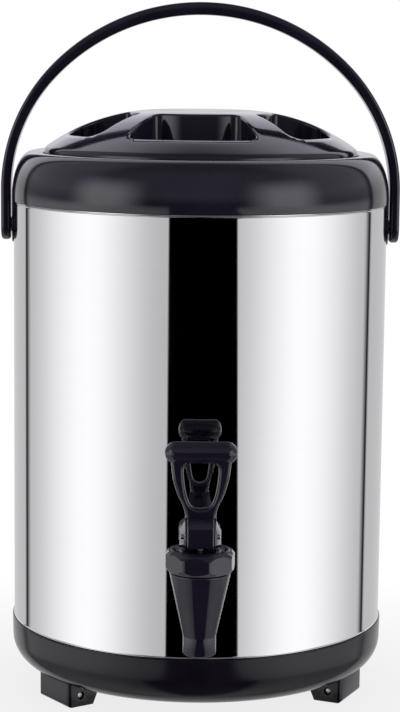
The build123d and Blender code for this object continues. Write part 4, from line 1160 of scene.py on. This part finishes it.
# %% Slot for the stem's eye and bore for the pin
PIN_BORE, EYE_ROOM, ROD_ROOM, SLOT_HALF, FAR = 1.55, 4.5, 3.3, 4.1, 24.0
reach_y, reach_z = sin(radians(SWING)), cos(radians(SWING))
slot_side = [
    (ROD_ROOM, 0), (ROD_ROOM, -FAR), (-FAR * reach_y, -FAR),
    (-ROD_ROOM * reach_z - FAR * reach_y, ROD_ROOM * reach_y - FAR * reach_z),
    (-ROD_ROOM * reach_z, ROD_ROOM * reach_y)]
cut(nose, side_block("stem_room", slot_side, SLOT_HALF))
for bore_r, half in ((EYE_ROOM, SLOT_HALF), (PIN_BORE, CHEEK_HALF + 2)):
    bore_plan = [(0, -half), (bore_r, -half), (bore_r, half), (0, half)]
    cut(nose, turned("lever_drill", bore_plan, pin_middle, "X", 40))
mend(nose)
print("foot with slot and bore:", len(nose.data.polygons), "faces")

# %% Lines of the loop and its eyelet
GRIP_Z, GRIP_R, GRIP_HALF, ARM_THICK, ARM_ROUND, ARM_DEEP = 189.3, 6.8, 22.4, 8.4, 2.0, 3.2
ARM_START, ARM_END = (9.6, 143.6), (20.1, GRIP_Z)
ARM_KNOTS = [(9.4, 148.4), (9.9, 152.5), (11.5, 157.6), (14.1, 162.7), (17.2, 173.0), (18.5, 183.2)]
EYELET_KNOTS = [
    (0, 154.7), (4.2, 155.5), (6.9, 158.1), (8.7, 163.0), (9.9, 169.5), (10.6, 176.0), (10.4, 180.2),
    (8.4, 182.4), (4.2, 182.9), (0, 183.0)]


def flowing(knots, steps):
    """Points of a smooth line through the knots."""
    knots = [Vector(knot) for knot in knots]
    line = []
    for k in range(len(knots) - 1):
        here, there = knots[k], knots[k + 1]
        lead = (there - knots[max(k - 1, 0)]) / 6
        tail = (knots[min(k + 2, len(knots) - 1)] - here) / 6
        line += interpolate_bezier(here, here + lead, there - tail, there, steps + 1)[:-1]
    return line + [knots[-1]]


def moved_in(line, distance):
    """A closed line moved to its left by a distance, with its corners kept."""
    moved = []
    for k, point in enumerate(line):
        before, after = (point - line[k - 1]).normalized(), (line[(k + 1) % len(line)] - point).normalized()
        first, second = Vector((-before.y, before.x)), Vector((-after.y, after.x))
        moved.append(point + (first + second) * distance / (1 + first.dot(second)))
    return moved


def mirror_line(half):
    return half + [Vector((-p.x, p.y)) for p in reversed(half) if p.x > 0]


loop_plan = mirror_line([Vector(ARM_START)] + flowing(ARM_KNOTS, 5) + [Vector(ARM_END)])
eyelet_plan = mirror_line(flowing(EYELET_KNOTS, 4))
print("loop:", len(loop_plan), "points, eyelet:", len(eyelet_plan), "points")

# %% Loop from sections that grow out from its faces
outer_count, per_section = len(loop_plan), len(loop_plan) + len(eyelet_plan)
rows = [(ARM_ROUND * (1 - sin(angle)), ARM_THICK / 2 - ARM_DEEP * (1 - cos(angle))) for angle in QUARTER]
rows = [(inward, -depth) for inward, depth in rows] + rows[::-1]
sections = [moved_in(loop_plan, inward) + moved_in(eyelet_plan, -inward) for inward, _ in rows]
loop_points = [p for section, (_, depth) in zip(sections, rows) for p in on_front(section, depth)]
loop_faces = []
for start in range(0, len(loop_points) - per_section, per_section):
    for first, last in ((0, outer_count), (outer_count, per_section)):
        near = range(start + first, start + last)
        loop_faces += band(near, [v + per_section for v in near])
rims = [list(range(outer_count)), list(range(outer_count, per_section))]
_, _, triangles, origin, *_ = delaunay_2d_cdt(sections[0], [], rims, 1, SAME)
cap = [tuple(origin[v][0] for v in triangle) for triangle in triangles]
cap = [face for face in cap if min(face) < outer_count]
last = len(loop_points) - per_section
loop_faces += cap + [tuple(last + v for v in face) for face in cap]
loop = piece_from("lever_loop", loop_points, loop_faces)
take(loop, edit=True)
bpy.ops.mesh.normals_make_consistent(inside=False)
print("loop:", len(loop_faces), "faces")

# %% Bar, and the lever put together
cap_end = GRIP_HALF - GRIP_R
bar_line = arc((-cap_end, 0), GRIP_R, 180, 90, 12) + arc((cap_end, 0), GRIP_R, 90, 0, 12)
bar = turned("lever_bar", [(p.y, p.x) for p in bar_line], tap_axis + mm(0, 0, GRIP_Z), "X", 48, closed=False)
join(nose, loop, bar)
nose.name = "lever"
finish_piece(nose, ["tap_lever"], 40, "lever")

# %% [markdown]
# ## Screws, studs and spring
# These are bought parts. A screw has a domed head with a cross recess on a plain shank: one of each kind
# is turned at the origin with its head up, the cross is cut, and copies are laid into their places.


# %% Turn a screw
def cross_screw(name, head_r, head_tall, shank):
    """Screw with its head on the ground plane; the shank is given as (radius, depth) steps."""
    profile = [(head_r * k / 6, head_tall * (1 - 0.5 * (k / 6) ** 2)) for k in range(7)] + [(head_r, 0)]
    start = 0
    for shank_r, depth in shank:
        profile += [(shank_r, start), (shank_r, -depth)]
        start = -depth
    screw = turned(name, profile + [(0, start)], Vector((0, 0, 0)), steps=36)
    wide, long, deep = head_r * 0.13, head_r * 0.62, head_tall * 0.45
    for across, along in ((wide, long), (long, wide)):
        corners = [(across, along), (-across, along), (-across, -along), (across, -along)]
        cut(screw, block("cross_bar", [mm(x, y, deep) for x, y in corners], mm(0, 0, head_tall)))
    return screw


def lay(screw, name, places, replaced):
    """Copies of a screw in their places, as one piece on the barrel."""
    copies = []
    for place in places:
        copy = screw.copy()
        copy.data = screw.data.copy()
        copy.data.transform(place)
        bpy.context.scene.collection.objects.link(copy)
        copies.append(copy)
    bpy.data.objects.remove(screw)
    piece = join(*copies)
    piece.name = name
    finish_piece(piece, [replaced], 30, slot="small_steel")


print("screw tools ready")

# %% Lay the studs and screws
HEAD_X, BOLT_R, BOLT_Z, BOLT_ANGLES = 131.5, 52, 18, (34.5, 154.5, 274.5)
HALF_TURN = Matrix.Rotation(pi, 4, "X")
stud_places = [
    Matrix.Translation((side * HEAD_X * MM, AXIS_Y, PIVOT_Z)) @ Matrix.Rotation(side * pi / 2, 4, "Y")
    for side in (1, -1)]
lay(cross_screw("stud", 6.0, 2.4, ((4.0, 3.6), (3.0, 12.3))), "bail_studs", stud_places, "pivot_studs")
bolt_places = [around(angle, BOLT_R, 0, BOLT_Z) @ HALF_TURN for angle in BOLT_ANGLES]
lay(cross_screw("screw", 4.5, 2.8, ((2.5, 35.0),)), "base_bolts", bolt_places, "base_screws")
peg_places = [
    around(angle, PEG_AT, side * peg_seat, PEG_Z) @ Matrix.Rotation(-side * pi / 2, 4, "X")
    for _, angle, side in FEET]
lay(cross_screw("peg", 2.6, PEG_HEAD, ((1.5, 24.0),)), "foot_pegs", peg_places, "foot_screws")

# %% [markdown]
# The valve's spring is a round wire wound six turns.

# %% Wind the spring
COIL_R, WIRE_R, COIL_TURNS, COIL_LOW, COIL_TALL, COIL_KEEP = 6.4, 0.6, 6, 100.7, 22.7, 20 / 24
spring = begin("valve_coil")
draw([mm(COIL_R + p.x, 0, p.y) for p in arc((0, 0), WIRE_R, 0, 324, 9)], closed=True)
shape(
    spring, "SCREW", axis="Z", angle=2 * pi, steps=28, render_steps=28, iterations=COIL_TURNS,
    screw_offset=COIL_TALL / COIL_TURNS * MM)
spring.data.transform(Matrix.Translation((0, TAP_Y, COIL_LOW * MM)))
take(spring, edit=True)
bpy.ops.mesh.fill_holes(sides=0)
finish_piece(spring, ["valve_spring"], 60, slot="small_steel")
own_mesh(spring)
